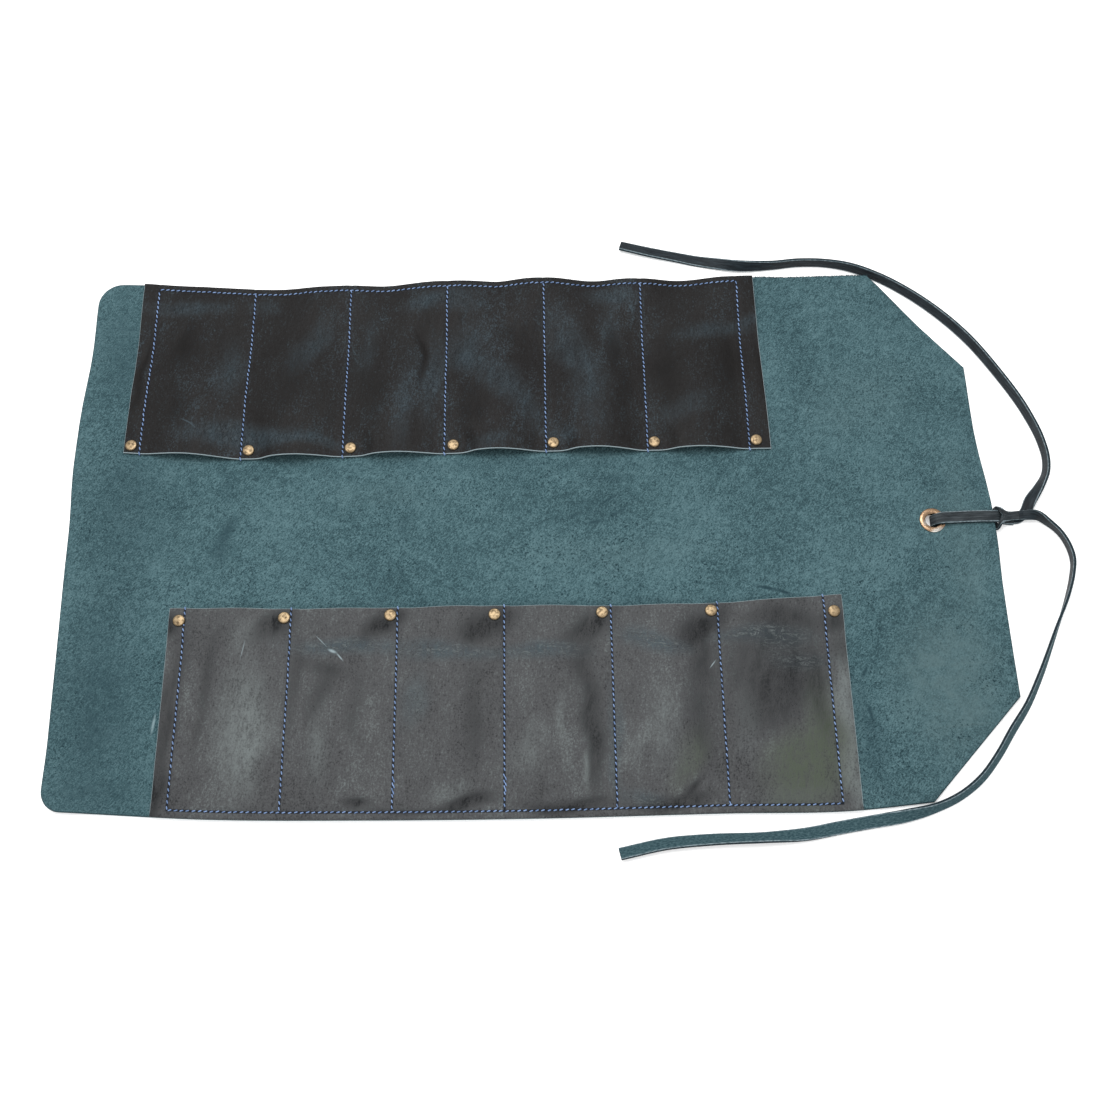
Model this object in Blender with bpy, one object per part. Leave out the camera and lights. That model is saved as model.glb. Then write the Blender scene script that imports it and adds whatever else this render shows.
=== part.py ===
"""Leather tool roll, opened flat: a body panel with its rough side up, two rows of stitched pockets,
rivets at the pocket mouths, and a flat lace that is looped through an eyelet and lies loose.

Units are metres. +X runs along the roll towards the laced end, +Y away from the viewer, +Z up.
The origin is the middle of the body panel's box, on the surface that it lies on.
"""

import math
from collections import namedtuple

import bmesh
import bpy
import numpy as np
from mathutils import Vector
from mathutils.geometry import delaunay_2d_cdt

# Clearance between pieces that touch
GAP = 0.0003

# Body panel
BODY_LENGTH = 0.620
BODY_WIDTH = 0.388
BODY_WALL = 0.0022
BODY_CORNER = 0.014

# Pocket panels: each is stitched along its outer edge and along seven seams
POCKET_WALL = 0.0018
POCKET_COUNT = 6
SEAM_PITCH = 0.0692
SEAM_MARGIN = 0.0124
EDGE_SEAM = 0.0045
UPPER_DEPTH = 0.142
LOWER_DEPTH = 0.1375
UPPER_SHIFT = -0.0577
LOWER_SHIFT = -0.0173
UPPER_FLARE = 0.0023
POCKET_BULGE = 0.0070

# How far the leather stands off the ground at its highest wave
WAVE_HEIGHT = 0.0055

# Rivets
RIVET_RADIUS = 0.0040
RIVET_POST_RADIUS = 0.0014
RIVET_CAP = 0.0013
RIVET_BASE = 0.0009
RIVET_INSET = 0.0062
RIVET_SIDES = 10

# Eyelet
EYELET_INSET = 0.0418
EYELET_Y = -0.0014
EYELET_RADIUS = 0.00865
EYELET_BORE = 0.00485
EYELET_TUBE_WALL = 0.00045
EYELET_FLANGE = 0.0007
EYELET_SIDES = 20

# Lace
LACE_WIDTH = 0.0082
LACE_WALL = 0.0019

# Mesh density
GRID_STEP = 0.022
LACE_STEPS_PER_POINT = 2

# Points along each side of the body panel, and the sides that a row of pockets is stitched along
SIDE_POINTS = (24, 5, 15, 6, 24, 22)
PANEL_SIDES = {0: LOWER_SHIFT, 4: UPPER_SHIFT}

Corner = namedtuple("Corner", "x y radius")
Bow = namedtuple("Bow", "along out")
Fold = namedtuple("Fold", "x y core_x core_y fade_x fade_down fade_up height")
Seam = namedtuple("Seam", "rivet_shift mouth_shift")
Strand = namedtuple("Strand", "x y z width")
SlitRow = namedtuple("SlitRow", "x y z outer inner")
TailPoint = namedtuple("TailPoint", "x y roll rise")

# Corners of the body panel, anticlockwise from the lower left.
# x and y are shares of half the length and half the width, radius is a share of BODY_CORNER.
CORNERS = (
    Corner(-0.981, -0.954, 1.0),
    Corner(0.797, -0.969, 0.0),
    Corner(1.000, -0.629, 0.0),
    Corner(0.987, 0.600, 0.0),
    Corner(0.790, 0.990, 0.0),
    Corner(-0.995, 1.000, 0.9),
)

# How each side between two corners bows outwards.
# along is a share of the side, out is a share of half the width.
BOWS = (
    (
        Bow(0.06, 0.009),
        Bow(0.17, 0.028),
        Bow(0.37, 0.038),
        Bow(0.55, 0.038),
        Bow(0.77, 0.028),
        Bow(0.91, 0.024),
    ),
    (),
    (Bow(0.18, 0.003), Bow(0.34, 0.007), Bow(0.51, 0.009), Bow(0.64, 0.006), Bow(0.76, -0.003)),
    (),
    (
        Bow(0.03, 0.000),
        Bow(0.26, -0.008),
        Bow(0.42, -0.002),
        Bow(0.55, -0.008),
        Bow(0.66, -0.018),
        Bow(0.77, -0.024),
        Bow(0.90, -0.002),
    ),
    (Bow(0.12, 0.004), Bow(0.35, 0.016), Bow(0.56, 0.015), Bow(0.75, 0.007), Bow(0.91, 0.001)),
)

# Waves where the leather stands off the ground.
# x, core_x and fade_x are shares of half the length; y, core_y and the other fades of half the width.
# height is a share of WAVE_HEIGHT.
FOLDS = (
    Fold(-0.26, 0.335, 0.65, 0.080, 0.84, 0.26, 0.39, 1.00),
    Fold(-0.97, 1.000, 0.03, 0.030, 0.16, 0.36, 0.10, 0.75),
    Fold(-0.45, 1.000, 0.02, 0.030, 0.11, 0.31, 0.10, 0.60),
    Fold(-0.19, 1.000, 0.02, 0.030, 0.13, 0.31, 0.10, 0.75),
    Fold(0.03, 1.000, 0.01, 0.030, 0.11, 0.31, 0.10, 0.95),
    Fold(0.25, 1.000, 0.01, 0.030, 0.09, 0.31, 0.10, 0.75),
    Fold(0.47, 1.000, 0.01, 0.030, 0.11, 0.31, 0.10, 0.80),
    Fold(0.78, 1.000, 0.02, 0.030, 0.16, 0.28, 0.10, 0.65),
    Fold(-0.98, -0.960, 0.01, 0.020, 0.15, 0.10, 0.22, 0.35),
)

# One row for each seam, from the left.
# Both are shares of RIVET_INSET: the rivet stands beside its seam, and the mouth's edge wanders a little.
UPPER_SEAMS = (
    Seam(-0.94, 0.65),
    Seam(0.86, -0.25),
    Seam(0.87, -0.16),
    Seam(0.98, 0.00),
    Seam(0.81, 0.10),
    Seam(0.73, 0.00),
    Seam(0.76, 0.05),
)
LOWER_SEAMS = (
    Seam(-0.50, -0.15),
    Seam(-0.68, 0.00),
    Seam(-0.74, 0.10),
    Seam(-1.00, 0.00),
    Seam(-0.92, 0.05),
    Seam(-0.69, 0.05),
    Seam(0.98, -0.25),
)

# How high each pocket's mouth stands open, as shares of POCKET_BULGE
UPPER_BULGES = (0.80, 0.95, 0.80, 0.95, 1.05, 0.85)
LOWER_BULGES = (0.78, 0.76, 0.80, 0.76, 0.82, 0.80)

# Where the mesh has its columns across a pocket and its rows from mouth to closed edge, as shares
POCKET_COLUMNS = (0.0, 0.10, 0.25, 0.50, 0.75, 0.90)
POCKET_ROWS = (0.0, 0.13, 0.30, 0.50, 0.70, 0.87)

# Loose ends of the lace, from the knot to the cut end, points chosen by hand, in millimetres and degrees.
# x is counted from the panel's laced end. roll is 0 with the smooth side up, 180 with the rough side up.
# rise lifts the lace over another strand.
UPPER_TAIL = (
    TailPoint(13.6, 0.5, 0, 0.0),
    TailPoint(15.6, 0.5, 0, 0.0),
    TailPoint(21.4, 4.4, 0, 0.0),
    TailPoint(26.9, 13.6, -10, 0.0),
    TailPoint(34.0, 23.4, -35, 0.0),
    TailPoint(39.5, 33.0, -58, 0.0),
    TailPoint(41.5, 44.0, -65, 0.0),
    TailPoint(40.2, 57.0, -65, 0.0),
    TailPoint(33.4, 79.5, -62, 0.0),
    TailPoint(17.5, 112.0, -58, 0.0),
    TailPoint(0.4, 139.5, -56, 0.0),
    TailPoint(-18.0, 160.8, -58, 0.0),
    TailPoint(-37.4, 178.0, -62, 0.0),
    TailPoint(-57.5, 191.5, -74, 0.0),
    TailPoint(-78.0, 200.6, -82, 0.0),
    TailPoint(-95.0, 204.0, -85, 0.0),
    TailPoint(-113.0, 204.6, -84, 0.0),
    TailPoint(-134.0, 202.6, -60, 0.0),
    TailPoint(-155.0, 202.9, -18, 0.0),
    TailPoint(-177.0, 207.2, 0, 0.0),
    TailPoint(-199.0, 212.2, 5, 0.0),
    TailPoint(-220.5, 217.4, 10, 0.0),
    TailPoint(-242.0, 223.4, 14, 0.0),
)
LOWER_TAIL = (
    TailPoint(17.3, 2.2, 0, 2.3),
    TailPoint(19.9, 2.3, 0, 2.3),
    TailPoint(23.6, 2.3, 4, 2.0),
    TailPoint(28.8, 1.2, 18, 1.0),
    TailPoint(35.6, -3.6, 42, 0.1),
    TailPoint(41.5, -10.0, 62, 0.0),
    TailPoint(46.0, -19.5, 80, 0.0),
    TailPoint(47.6, -30.0, 88, 0.0),
    TailPoint(45.0, -42.0, 92, 0.0),
    TailPoint(40.3, -54.6, 94, 0.0),
    TailPoint(28.4, -79.2, 108, 0.0),
    TailPoint(12.6, -111.0, 118, 0.0),
    TailPoint(2.8, -128.0, 120, 0.0),
    TailPoint(-9.4, -144.5, 124, 0.0),
    TailPoint(-20.5, -160.2, 122, 0.0),
    TailPoint(-33.0, -174.4, 120, 0.0),
    TailPoint(-48.0, -185.2, 118, 0.0),
    TailPoint(-64.0, -192.0, 122, 0.0),
    TailPoint(-82.0, -196.2, 150, 0.0),
    TailPoint(-101.0, -199.0, 176, 0.0),
    TailPoint(-121.0, -202.2, 180, 0.0),
    TailPoint(-144.0, -206.2, 192, 0.0),
    TailPoint(-166.0, -207.8, 215, 0.0),
    TailPoint(-202.5, -208.7, 210, 0.0),
    TailPoint(-228.0, -210.6, 206, 0.0),
    TailPoint(-257.4, -216.4, 204, 0.0),
)
TAIL_UNIT = 0.001

# Worked out from the sizes above
HALF = np.array([BODY_LENGTH / 2, BODY_WIDTH / 2])
PANEL_LENGTH = 2 * SEAM_MARGIN + POCKET_COUNT * SEAM_PITCH
STACK = BODY_WALL + GAP + POCKET_WALL
RIVET_HOLE = RIVET_POST_RADIUS + GAP
RIVET_ROOM = RIVET_BASE + 2 * GAP
RIVET_PAD = RIVET_RADIUS + 2 * GAP
EYELET_HOLE = EYELET_BORE + EYELET_TUBE_WALL + GAP
EYELET_PAD = EYELET_RADIUS + 2 * GAP
EYELET_X = BODY_LENGTH / 2 - EYELET_INSET
LACE_ROOM = LACE_WALL + EYELET_FLANGE + 3 * GAP
LACE_Y = EYELET_Y + 0.0019
PAD_FADE = 0.014
LACE_FADE = 0.040
NUDGE = 1e-7


def clear_scene():
    for obj in list(bpy.data.objects):
        bpy.data.objects.remove(obj, do_unlink=True)


def material(name, color, roughness, metallic=0.0):
    made = bpy.data.materials.new(name)
    made.use_nodes = True
    shader = made.node_tree.nodes["Principled BSDF"]
    shader.inputs["Base Color"].default_value = (*color, 1.0)
    shader.inputs["Roughness"].default_value = roughness
    shader.inputs["Metallic"].default_value = metallic
    made.diffuse_color = (*color, 1.0)
    return made


def add_object(name, points, faces, finish, smooth_below=35):
    """One closed mesh object, with its faces turned outwards."""
    mesh = bpy.data.meshes.new(name)
    mesh.from_pydata([tuple(p) for p in points], [], [tuple(int(i) for i in f) for f in faces])
    shape = bmesh.new()
    shape.from_mesh(mesh)
    bmesh.ops.recalc_face_normals(shape, faces=shape.faces[:])
    shape.to_mesh(mesh)
    shape.free()
    mesh.shade_smooth()
    mesh.set_sharp_from_angle(angle=math.radians(smooth_below))
    mesh.materials.append(finish)
    obj = bpy.data.objects.new(name, mesh)
    bpy.context.scene.collection.objects.link(obj)
    return obj


def smooth_curve(knots, values, at):
    """A curve through a few values: cubic pieces whose slope at each knot is that between its neighbours."""
    knots = np.asarray(knots, float)
    values = np.asarray(values, float)
    slopes = np.gradient(values, knots, axis=0)
    at = np.clip(np.asarray(at, float), knots[0], knots[-1])
    index = np.clip(np.searchsorted(knots, at, side="right") - 1, 0, len(knots) - 2)
    width = knots[index + 1] - knots[index]
    t = (at - knots[index]) / width
    if values.ndim > 1:
        t = t[:, None]
        width = width[:, None]
    start = (1 + 2 * t) * (1 - t) ** 2 * values[index] + t * (1 - t) ** 2 * width * slopes[index]
    end = t * t * (3 - 2 * t) * values[index + 1] - t * t * (1 - t) * width * slopes[index + 1]
    return start + end


def fade(distance, core, reach):
    """1 up to core, then a smooth fall to 0 over reach."""
    share = np.clip((distance - core) / reach, 0, 1)
    return np.cos(share * math.pi / 2) ** 2


def side_points(index, shares):
    """Points along one side of the body panel, at shares of the way from its corner to the next.

    A point at share t lies on the straight chord, moved outwards by the side's bow at t.
    """
    start = np.array(CORNERS[index][:2]) * HALF
    end = np.array(CORNERS[(index + 1) % len(CORNERS)][:2]) * HALF
    bows = (Bow(0, 0), *BOWS[index], Bow(1, 0))
    out = smooth_curve([b.along for b in bows], [b.out for b in bows], shares) * HALF[1]
    along = (end - start) / np.linalg.norm(end - start)
    outward = np.array([along[1], -along[0]])
    return start + shares[:, None] * (end - start) + out[:, None] * outward


def rounded(outline, corner, radius):
    """The outline with one corner cut back to a round: an arc stands in for the points near it."""
    if radius <= 0:
        return outline
    distance = np.linalg.norm(outline - corner, axis=1)
    start = int(np.argmin(distance))
    outline = np.roll(outline, -start, axis=0)
    kept = outline[np.linalg.norm(outline - corner, axis=1) > radius * 1.25]
    into = kept[-1] - corner
    away = kept[0] - corner
    first = corner + into / np.linalg.norm(into) * radius
    last = corner + away / np.linalg.norm(away) * radius
    t = np.linspace(0, 1, 6)[:, None]
    arc = (1 - t) ** 2 * first + 2 * t * (1 - t) * corner + t**2 * last
    return np.vstack([kept, arc])


def panel_columns(shift):
    """The x of each mesh column of a pocket panel, from its left edge to its right edge."""
    left = shift - PANEL_LENGTH / 2
    first = left + SEAM_MARGIN
    inner = [first + (i + share) * SEAM_PITCH for i in range(POCKET_COUNT) for share in POCKET_COLUMNS]
    return np.array([left, *inner, first + POCKET_COUNT * SEAM_PITCH, left + PANEL_LENGTH])


def shares_on_side(index, columns):
    """Where given x values fall along a side of the body panel that runs along X."""
    start = CORNERS[index].x * HALF[0]
    end = CORNERS[(index + 1) % len(CORNERS)].x * HALF[0]
    return (np.asarray(columns) - start) / (end - start)


def body_outline():
    """The panel's edge, anticlockwise, stretched so that its box is exactly the stated length and width.

    Along a pocket panel the edge takes that panel's columns, and elsewhere it is divided evenly.
    """
    sides = []
    for index, count in enumerate(SIDE_POINTS):
        shares = np.arange(count) / count
        if index in PANEL_SIDES:
            stitched = shares_on_side(index, panel_columns(PANEL_SIDES[index]))
            room = 0.5 / count
            beyond = (shares < stitched.min() - room) | (shares > stitched.max() + room)
            shares = np.union1d(shares[beyond], stitched)
        sides.append(side_points(index, shares))
    outline = np.vstack(sides)
    for corner in CORNERS:
        outline = rounded(outline, np.array([corner.x, corner.y]) * HALF, corner.radius * BODY_CORNER)
    low = outline.min(axis=0)
    high = outline.max(axis=0)
    return (outline - (low + high) / 2) * (2 * HALF) / (high - low)


def inside(points, loop):
    """Whether each point lies inside a closed loop: an odd number of its edges crosses the ray towards +X."""
    a = loop
    b = np.roll(loop, -1, axis=0)
    x = points[:, 0:1]
    y = points[:, 1:2]
    spans = (a[:, 1] > y) != (b[:, 1] > y)
    with np.errstate(divide="ignore", invalid="ignore"):
        crossing = a[:, 0] + (y - a[:, 1]) * (b[:, 0] - a[:, 0]) / (b[:, 1] - a[:, 1])
    return (spans & (x < crossing)).sum(axis=1) % 2 == 1


def distance_to(points, loop):
    """The shortest distance from each point to the edges of a closed loop."""
    a = loop[None]
    b = np.roll(loop, -1, axis=0)[None]
    p = points[:, None]
    share = ((p - a) * (b - a)).sum(2) / np.maximum(((b - a) ** 2).sum(2), NUDGE**2)
    nearest = a + np.clip(share, 0, 1)[:, :, None] * (b - a)
    return np.linalg.norm(p - nearest, axis=2).min(axis=1)


class PocketPanel:
    """Plan of one row of pockets. side is +1 for the row at the far edge, -1 for the near one."""

    def __init__(self, side, shift, depth, flare, seams, bulges, outline):
        self.side = side
        self.depth = depth
        self.columns = panel_columns(shift)
        self.seam_x = self.columns[0] + SEAM_MARGIN + SEAM_PITCH * np.arange(POCKET_COUNT + 1)
        self.mouth_y = side * (HALF[1] - depth)
        self.flare = flare
        self.seams = seams
        self.bulges = bulges
        self.outline = outline
        self.outer = self.outer_edge()
        self.rivets = self.rivet_places()
        self.grid = self.grid_points()
        self.loop = self.closed_loop()

    def outer_edge(self):
        """The points of the body's own edge that lie along this panel."""
        edge = self.outline[self.side * self.outline[:, 1] > HALF[1] / 2]
        low = self.columns[0] - NUDGE * 10
        high = self.columns[-1] + NUDGE * 10
        edge = edge[(edge[:, 0] > low - GRID_STEP / 8) & (edge[:, 0] < high + GRID_STEP / 8)]
        return edge[np.argsort(edge[:, 0])]

    def mouth(self, x):
        """Where the mouth's edge lies at x: its straight line, moved a little by each seam's shift."""
        shift = [s.mouth_shift * RIVET_INSET for s in self.seams]
        knots = [self.columns[0], *self.seam_x[1:-1], self.columns[-1]]
        return self.mouth_y + smooth_curve(knots, shift, x)

    def rivet_places(self):
        places = []
        for seam, row in zip(self.seam_x, self.seams):
            x = seam + row.rivet_shift * RIVET_INSET
            places.append((x, float(self.mouth(np.array([x]))[0]) + self.side * RIVET_INSET))
        return np.array(places)

    def grid_points(self):
        """Rows from the mouth to the row that is stitched at the closed edge, as (row, column, 2)."""
        outer_y = self.outer[:, 1]
        x = self.outer[:, 0]
        mouth_y = self.mouth(x)
        stitched = outer_y - self.side * EDGE_SEAM
        rows = []
        for share in (*POCKET_ROWS, 1.0):
            flare = np.where(np.arange(len(x)) == len(x) - 1, self.flare * (1 - share), 0)
            rows.append(np.stack([x + flare, mouth_y + share * (stitched - mouth_y)], axis=1))
        return np.array(rows)

    def closed_loop(self):
        """The panel's edge as one loop: mouth, right side, outer edge, left side."""
        grid = self.grid
        return np.vstack([grid[0], grid[1:, -1], self.outer[::-1], grid[1:, 0][::-1]])

    def bulge(self, points):
        """How far the leather stands off the body: an arch between seams that dies out at the closed edge."""
        x = points[:, 0]
        place = (x - self.seam_x[0]) / SEAM_PITCH
        pocket = np.clip(np.floor(place).astype(int), 0, POCKET_COUNT - 1)
        across = np.clip(place - pocket, 0, 1)
        edge_y = np.interp(x, self.outer[:, 0], self.outer[:, 1]) - self.side * EDGE_SEAM
        mouth_y = self.mouth(x)
        down = np.clip((points[:, 1] - mouth_y) / (edge_y - mouth_y), 0, 1)
        arch = np.sin(math.pi * across) ** 1.6 * np.cos(down * math.pi / 2) ** 0.7
        arch[(place < 0) | (place > POCKET_COUNT)] = 0
        pressed = np.ones(len(points))
        for rivet in self.rivets:
            away = np.linalg.norm(points - rivet, axis=1)
            pressed *= 1 - fade(away, RIVET_PAD, PAD_FADE)
        return np.array(self.bulges)[pocket] * POCKET_BULGE * arch * pressed


def fold_height(points):
    """The sum of the named waves, each a smooth hump with a level core."""
    height = np.zeros(len(points))
    for row in FOLDS:
        dx = np.abs(points[:, 0] / HALF[0] - row.x)
        dy = points[:, 1] / HALF[1] - row.y
        falling = np.where(dy > 0, row.fade_up, row.fade_down)
        height += fade(dx, row.core_x, row.fade_x) * fade(np.abs(dy), row.core_y, falling) * row.height
    return height * WAVE_HEIGHT


def ground_height(points, rivets):
    """How high the body's underside stands: waves, made level under rivets and raised over the lace."""
    height = fold_height(points)
    reach_x = np.maximum(EYELET_X - EYELET_PAD - points[:, 0], 0)
    beside = np.abs(points[:, 1] - EYELET_Y)
    over_lace = fade(reach_x, 0, LACE_FADE) * fade(beside, EYELET_PAD, LACE_FADE)
    height = height * (1 - over_lace) + LACE_ROOM * over_lace
    for rivet in rivets:
        level = max(float(fold_height(rivet[None])[0]), RIVET_ROOM)
        near = fade(np.linalg.norm(points - rivet, axis=1), RIVET_PAD, PAD_FADE)
        height = height * (1 - near) + level * near
    return height


def circle(centre, radius, count):
    angle = 2 * math.pi * np.arange(count) / count
    return np.asarray(centre) + radius * np.stack([np.cos(angle), np.sin(angle)], axis=1)


def plan_mesh(outline, panels, holes, pads):
    """One triangulation of the whole plan. The body and the pockets both take their triangles from it."""
    points = []
    edges = []

    def add_chain(chain, closed):
        start = len(points)
        points.extend(map(tuple, chain))
        links = range(len(chain) if closed else len(chain) - 1)
        edges.extend((start + i, start + (i + 1) % len(chain)) for i in links)

    add_chain(outline, True)
    for panel in panels:
        add_chain(panel.loop, True)
    for hole in holes:
        add_chain(hole, True)
    steps = np.ceil(2 * HALF / GRID_STEP).astype(int)
    spans = [np.linspace(-HALF[k], HALF[k], steps[k] + 1) for k in range(2)]
    loose = np.stack(np.meshgrid(*spans), axis=2).reshape(-1, 2)
    keep = inside(loose, outline) & (distance_to(loose, outline) > GRID_STEP * 0.35)
    for panel in panels:
        keep &= ~inside(loose, panel.loop) & (distance_to(loose, panel.loop) > GRID_STEP * 0.35)
    groups = [loose[keep]]
    groups += [panel.grid[1:, 1:-1].reshape(-1, 2) for panel in panels]
    rings = np.vstack(pads)
    for group in groups:
        clear = np.ones(len(group), bool)
        for pad in pads:
            centre = pad.mean(axis=0)
            reach = np.linalg.norm(pad[0] - centre)
            clear &= np.linalg.norm(group - centre, axis=1) > reach * 1.3
        points.extend(map(tuple, group[clear]))
    points.extend(map(tuple, rings))
    merged, index = np.unique(np.round(points, 8), axis=0, return_inverse=True)
    index = index.reshape(-1)
    pairs = {tuple(sorted((int(index[a]), int(index[b])))) for a, b in edges if index[a] != index[b]}
    vectors = [Vector((x, y)) for x, y in merged]
    made = delaunay_2d_cdt(vectors, sorted(pairs), [], 0, NUDGE, False)
    plan = np.array([tuple(v) for v in made[0]])
    triangles = np.array([list(f) for f in made[2]])
    return plan, triangles


def chosen(plan, triangles, loop, holes):
    """The triangles inside a loop and outside every hole."""
    middle = plan[triangles].mean(axis=1)
    keep = inside(middle, loop)
    for hole in holes:
        keep &= ~inside(middle, hole)
    return triangles[keep]


def sheet(name, plan, triangles, under, over, finish):
    """A closed wall: the same triangles at two heights, with a rim along every open edge."""
    used, local = np.unique(triangles, return_inverse=True)
    faces = local.reshape(-1, 3)
    flat = plan[used]
    turn = np.cross(flat[faces[:, 1]] - flat[faces[:, 0]], flat[faces[:, 2]] - flat[faces[:, 0]])
    faces[turn < 0] = faces[turn < 0][:, ::-1]
    count = len(used)
    bottom = np.column_stack([flat, under(flat)])
    top = np.column_stack([flat, over(flat)])
    sides = np.concatenate([faces[:, [0, 1]], faces[:, [1, 2]], faces[:, [2, 0]]])
    known = {tuple(e) for e in sides.tolist()}
    rim = np.array([e for e in sides.tolist() if (e[1], e[0]) not in known])
    lower = np.column_stack([rim[:, 0], rim[:, 1], rim[:, 1] + count])
    upper = np.column_stack([rim[:, 0], rim[:, 1] + count, rim[:, 0] + count])
    all_faces = np.vstack([faces + count, faces[:, ::-1], lower, upper])
    return add_object(name, np.vstack([bottom, top]), all_faces, finish)


def slope_factor(points, height):
    """How much taller than the wall's thickness its upright height is, where the sheet slopes."""
    step = 0.0005
    across = (height(points + (step, 0)) - height(points - (step, 0))) / (2 * step)
    along = (height(points + (0, step)) - height(points - (0, step))) / (2 * step)
    return np.sqrt(1 + across**2 + along**2)


def turned(name, profile, sides, place, finish):
    """A profile of (radius, height) turned about Z. Points on the axis become one vertex each."""
    angle = 2 * math.pi * np.arange(sides) / sides
    points = []
    rings = []
    for radius, height in profile:
        start = len(points)
        if radius == 0:
            points.append((0.0, 0.0, height))
            rings.append([start] * sides)
        else:
            points.extend((radius * math.cos(a), radius * math.sin(a), height) for a in angle)
            rings.append(list(range(start, start + sides)))
    closed = profile[0][0] > 0
    pairs = list(zip(rings, rings[1:] + rings[:1])) if closed else list(zip(rings, rings[1:]))
    faces = []
    for low, high in pairs:
        for i in range(sides):
            j = (i + 1) % sides
            face = list(dict.fromkeys((low[i], low[j], high[j], high[i])))
            faces.append(face)
    obj = add_object(name, points, faces, finish)
    obj.location = place
    return obj


def rivet_profile():
    """Base, post and domed cap, with height 0 at the body's underside."""
    seat = STACK + GAP
    return (
        (0, -GAP - RIVET_BASE),
        (RIVET_RADIUS, -GAP - RIVET_BASE),
        (RIVET_RADIUS, -GAP),
        (RIVET_POST_RADIUS, -GAP),
        (RIVET_POST_RADIUS, seat),
        (RIVET_RADIUS, seat),
        (RIVET_RADIUS * 0.88, seat + RIVET_CAP * 0.62),
        (0, seat + RIVET_CAP),
    )


def eyelet_profile():
    """A tube through the body with a flange on each face, with height 0 at the body's underside."""
    tube = EYELET_BORE + EYELET_TUBE_WALL
    return (
        (EYELET_BORE, -GAP - EYELET_FLANGE),
        (EYELET_RADIUS, -GAP - EYELET_FLANGE * 0.7),
        (EYELET_RADIUS, -GAP),
        (tube, -GAP),
        (tube, BODY_WALL + GAP),
        (EYELET_RADIUS, BODY_WALL + GAP),
        (EYELET_RADIUS * 0.88, BODY_WALL + GAP + EYELET_FLANGE),
        (EYELET_BORE * 1.12, BODY_WALL + GAP + EYELET_FLANGE),
        (EYELET_BORE, BODY_WALL + GAP + EYELET_FLANGE * 0.4),
    )


def ribbon(name, centre, across, through, finish):
    """A flat strip: at each station four corners, half a width across and half a wall through its middle."""
    count = len(centre)
    low = (centre - across - through, centre + across - through)
    high = (centre + across + through, centre - across + through)
    points = np.stack([*low, *high], axis=1).reshape(-1, 3)
    faces = []
    for i in range(count - 1):
        for k in range(4):
            a = 4 * i + k
            b = 4 * i + (k + 1) % 4
            faces.append((a, b, b + 4, a + 4))
    faces.append((3, 2, 1, 0))
    last = 4 * (count - 1)
    faces.append((last, last + 1, last + 2, last + 3))
    return add_object(name, points, [f[::-1] for f in faces], finish)


def tail_stations(rows):
    """The lace's middle line and its two half vectors.

    The strip rests on the ground: its middle stands at half its width times the sine of its roll,
    plus half its wall times the cosine.
    """
    table = np.array(rows, float) * (TAIL_UNIT, TAIL_UNIT, 1, TAIL_UNIT)
    table[:, 0] += BODY_LENGTH / 2
    step = np.linalg.norm(np.diff(table[:, :2], axis=0), axis=1)
    knots = np.concatenate([[0], np.cumsum(step)])
    spread = [np.linspace(a, b, LACE_STEPS_PER_POINT + 1)[:-1] for a, b in zip(knots, knots[1:])]
    at = np.concatenate([*spread, knots[-1:]])
    route = smooth_curve(knots, table, at)
    roll = np.radians(route[:, 2])
    stand = LACE_WIDTH / 2 * np.abs(np.sin(roll)) + LACE_WALL / 2 * np.abs(np.cos(roll))
    centre = np.column_stack([route[:, :2], stand + np.maximum(route[:, 3], 0)])
    along = np.gradient(centre, axis=0)
    along /= np.linalg.norm(along, axis=1)[:, None]
    up = np.array([0.0, 0.0, 1.0])
    left = np.cross(up, along)
    left /= np.linalg.norm(left, axis=1)[:, None]
    raised = np.cross(along, left)
    turn = roll[:, None]
    across = np.cos(turn) * left + np.sin(turn) * raised
    through = np.cos(turn) * raised - np.sin(turn) * left
    return centre, across * LACE_WIDTH / 2, through * LACE_WALL / 2


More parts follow.
